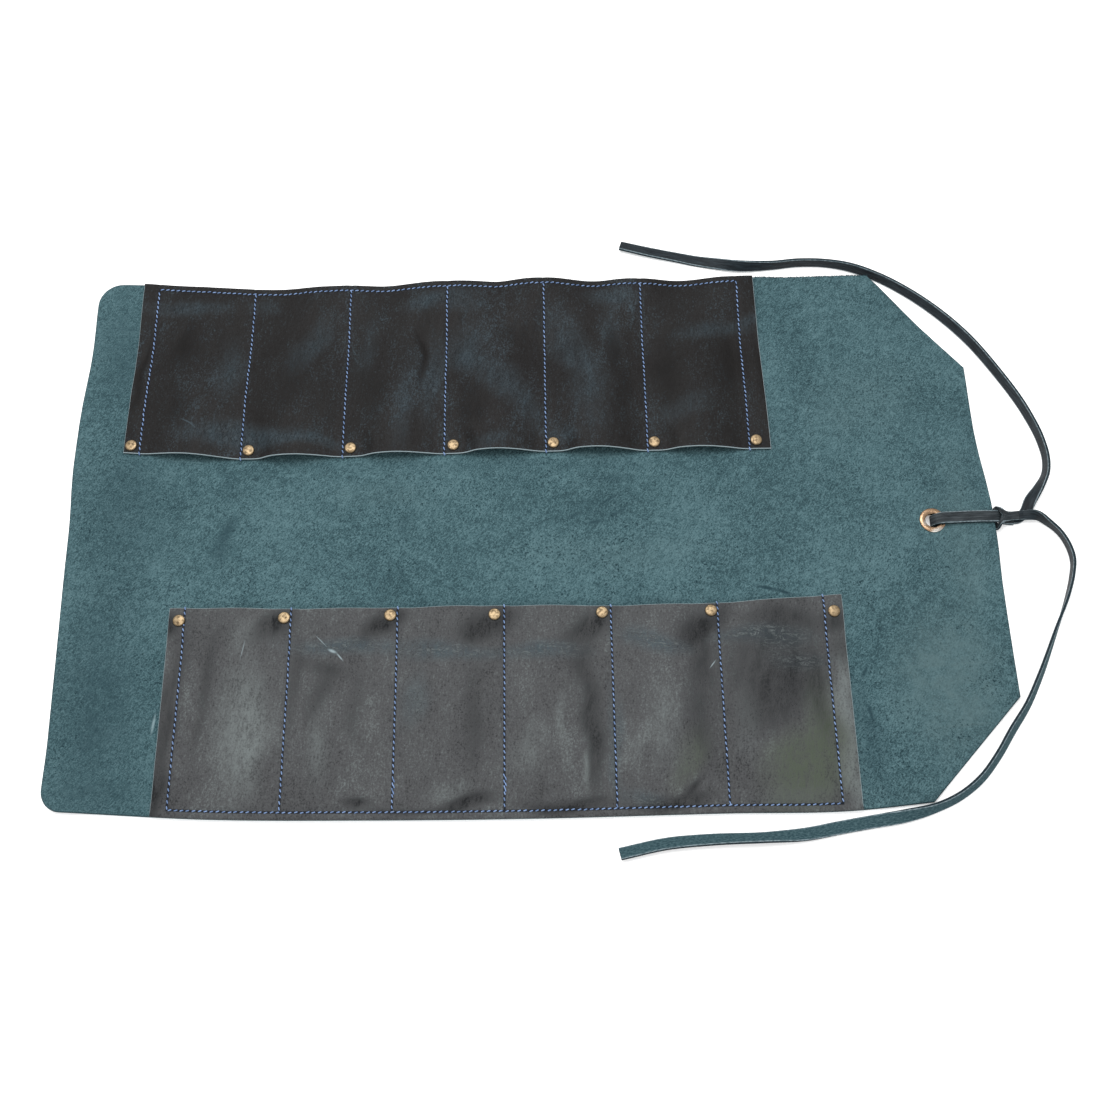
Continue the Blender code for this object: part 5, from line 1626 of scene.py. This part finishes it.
def eyelet(finish):
    """A rolled tube: a rounded flange above the leather, the tube through it, a flatter flange beneath."""
    low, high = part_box("eyelet")
    seat = high.z - EYELET_FLANGE
    middle = (EYELET_RADIUS + EYELET_BORE) / 2
    reach = (EYELET_RADIUS - EYELET_BORE) / 2
    roll = np.linspace(0, math.pi, BEAD_STEPS)
    bead_x = middle + reach * np.cos(roll)
    bead_z = seat + EYELET_FLANGE * np.sin(roll) ** EYELET_BEAD_POWER
    tube = EYELET_BORE + EYELET_TUBE
    profile = [
        (EYELET_BORE, low.z + EYELET_FOOT_DROP),
        (EYELET_BORE + EYELET_FOOT_INNER, low.z),
        (EYELET_RADIUS - EYELET_FOOT_OUTER, low.z),
        (EYELET_RADIUS, low.z + EYELET_FLANGE),
        (tube, low.z + EYELET_FLANGE),
        (tube, seat),
        *zip(bead_x, bead_z),
    ]
    points, faces = turned(profile, (EYELET_X, EYELET_Y, 0.0))
    piece = new_piece("eyelet_ring", points, faces, [finish], crease=METAL_CREASE)
    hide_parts("eyelet")
    return piece


def floor(finish):
    """A plain sheet under everything."""
    corners = ((-1, -1), (1, -1), (1, 1), (-1, 1))
    points = [(x * FLOOR_HALF, y * FLOOR_HALF, -FLOOR_DROP) for x, y in corners]
    mesh = bpy.data.meshes.new("floor")
    mesh.from_pydata(points, [], [(0, 1, 2, 3)])
    mesh.materials.append(finish)
    made = bpy.data.objects.new("floor", mesh)
    bpy.context.scene.collection.objects.link(made)


def softbox(name, place, size, energy):
    """A rectangular light that faces the middle of the roll."""
    data = bpy.data.lights.new(name, "AREA")
    data.shape = "RECTANGLE"
    data.size, data.size_y = size
    data.energy = energy
    made = bpy.data.objects.new(name, data)
    made.location = place
    made.rotation_euler = (-Vector(place)).to_track_quat("-Z", "Y").to_euler()
    bpy.context.scene.collection.objects.link(made)


def light():
    """A large soft box above and behind, a weak fill from the front, and an even pale surround."""
    for box in SOFTBOXES:
        softbox(*box)
    world = bpy.data.worlds.new("surround")
    world.use_nodes = True
    surround = world.node_tree.nodes["Background"]
    surround.inputs["Color"].default_value = (1.0, 1.0, 1.0, 1.0)
    surround.inputs["Strength"].default_value = SURROUND_STRENGTH
    bpy.context.scene.world = world
    bpy.context.scene.view_settings.view_transform = "Standard"


# Rivets of the upper row, then of the lower row, from the left, where the frame has them
RIVET_NAMES = [f"{row}_rivet_{k + 1}" for row in ("upper", "lower") for k in range(POCKET_COUNT + 1)]
RIVET_BOXES = [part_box(name) for name in RIVET_NAMES]
RIVETS = [((low.x + high.x) / 2, (low.y + high.y) / 2) for low, high in RIVET_BOXES]

loose_lace = lace_finish("lace_leather", LOOSE_LACE)
knot_lace = lace_finish("knot_lace", KNOT_LACE)
camera()
upper_end = lace_tail("upper_lace_end", "lace_tail_upper", UPPER_TAIL, loose_lace)
lower_end = lace_tail("lower_lace_end", "lace_tail_lower", LOWER_TAIL, loose_lace)
strand = lace_strand(knot_lace)
slit_end = lace_slit_end(knot_lace)

suede = suede_finish()
body, plan, body_area = body_panel([suede, underside_finish()])

upper_row = PocketRow(
    "upper", 1, UPPER_SHIFT, UPPER_DEPTH, UPPER_FLARE, UPPER_TRIM, UPPER_MOUTHS, UPPER_BULGES, (), plan
)
lower_row = PocketRow(
    "lower", -1, LOWER_SHIFT, LOWER_DEPTH, 0.0, LOWER_TRIM, LOWER_MOUTHS, LOWER_BULGES, (2, 3), plan
)
upper_leather = grain_finish("upper_pocket_grain", DARK_TONES, UPPER_SCRATCHES, 0.52, 0.10, wrinkled=0.5)
# The near row: the same leather, painted lighter for the sheen it catches
lower_leather = grain_finish(
    "lower_pocket_painted_sheen", PAINTED_SHEEN_TONES, LOWER_SCRATCHES, 0.46, 0.10, marks_and_shading=("pale", "green", "slate", "dark")
)
edge_fibres(plan, upper_row.left + PANEL_LENGTH + UPPER_FLARE, suede, 51)
thread = thread_finish()
for row, finish, marks_and_shading, depth, stitch_length, seed in (
    (upper_row, upper_leather, UPPER_MARKS, UPPER_DEPTH, UPPER_STITCH, 41),
    (lower_row, lower_leather, LOWER_MARKS_AND_SHADING, LOWER_DEPTH, LOWER_STITCH, 42),
):
    panel = pocket_panel(row, finish, marks_and_shading)
    row_stitches(row, thread, stitch_length, seed)

brass = metal_finish("rivet_brass", RIVET_BRASS, 0.44)
for name in RIVET_NAMES:
    rivet(name, brass)
eyelet(metal_finish("eyelet_brass", EYELET_BRASS, 0.24, EYELET_HIGHLIGHTS))

floor(stage_finish("floor_paper", FLOOR_PAPER, FLOOR_GLOW))
light()
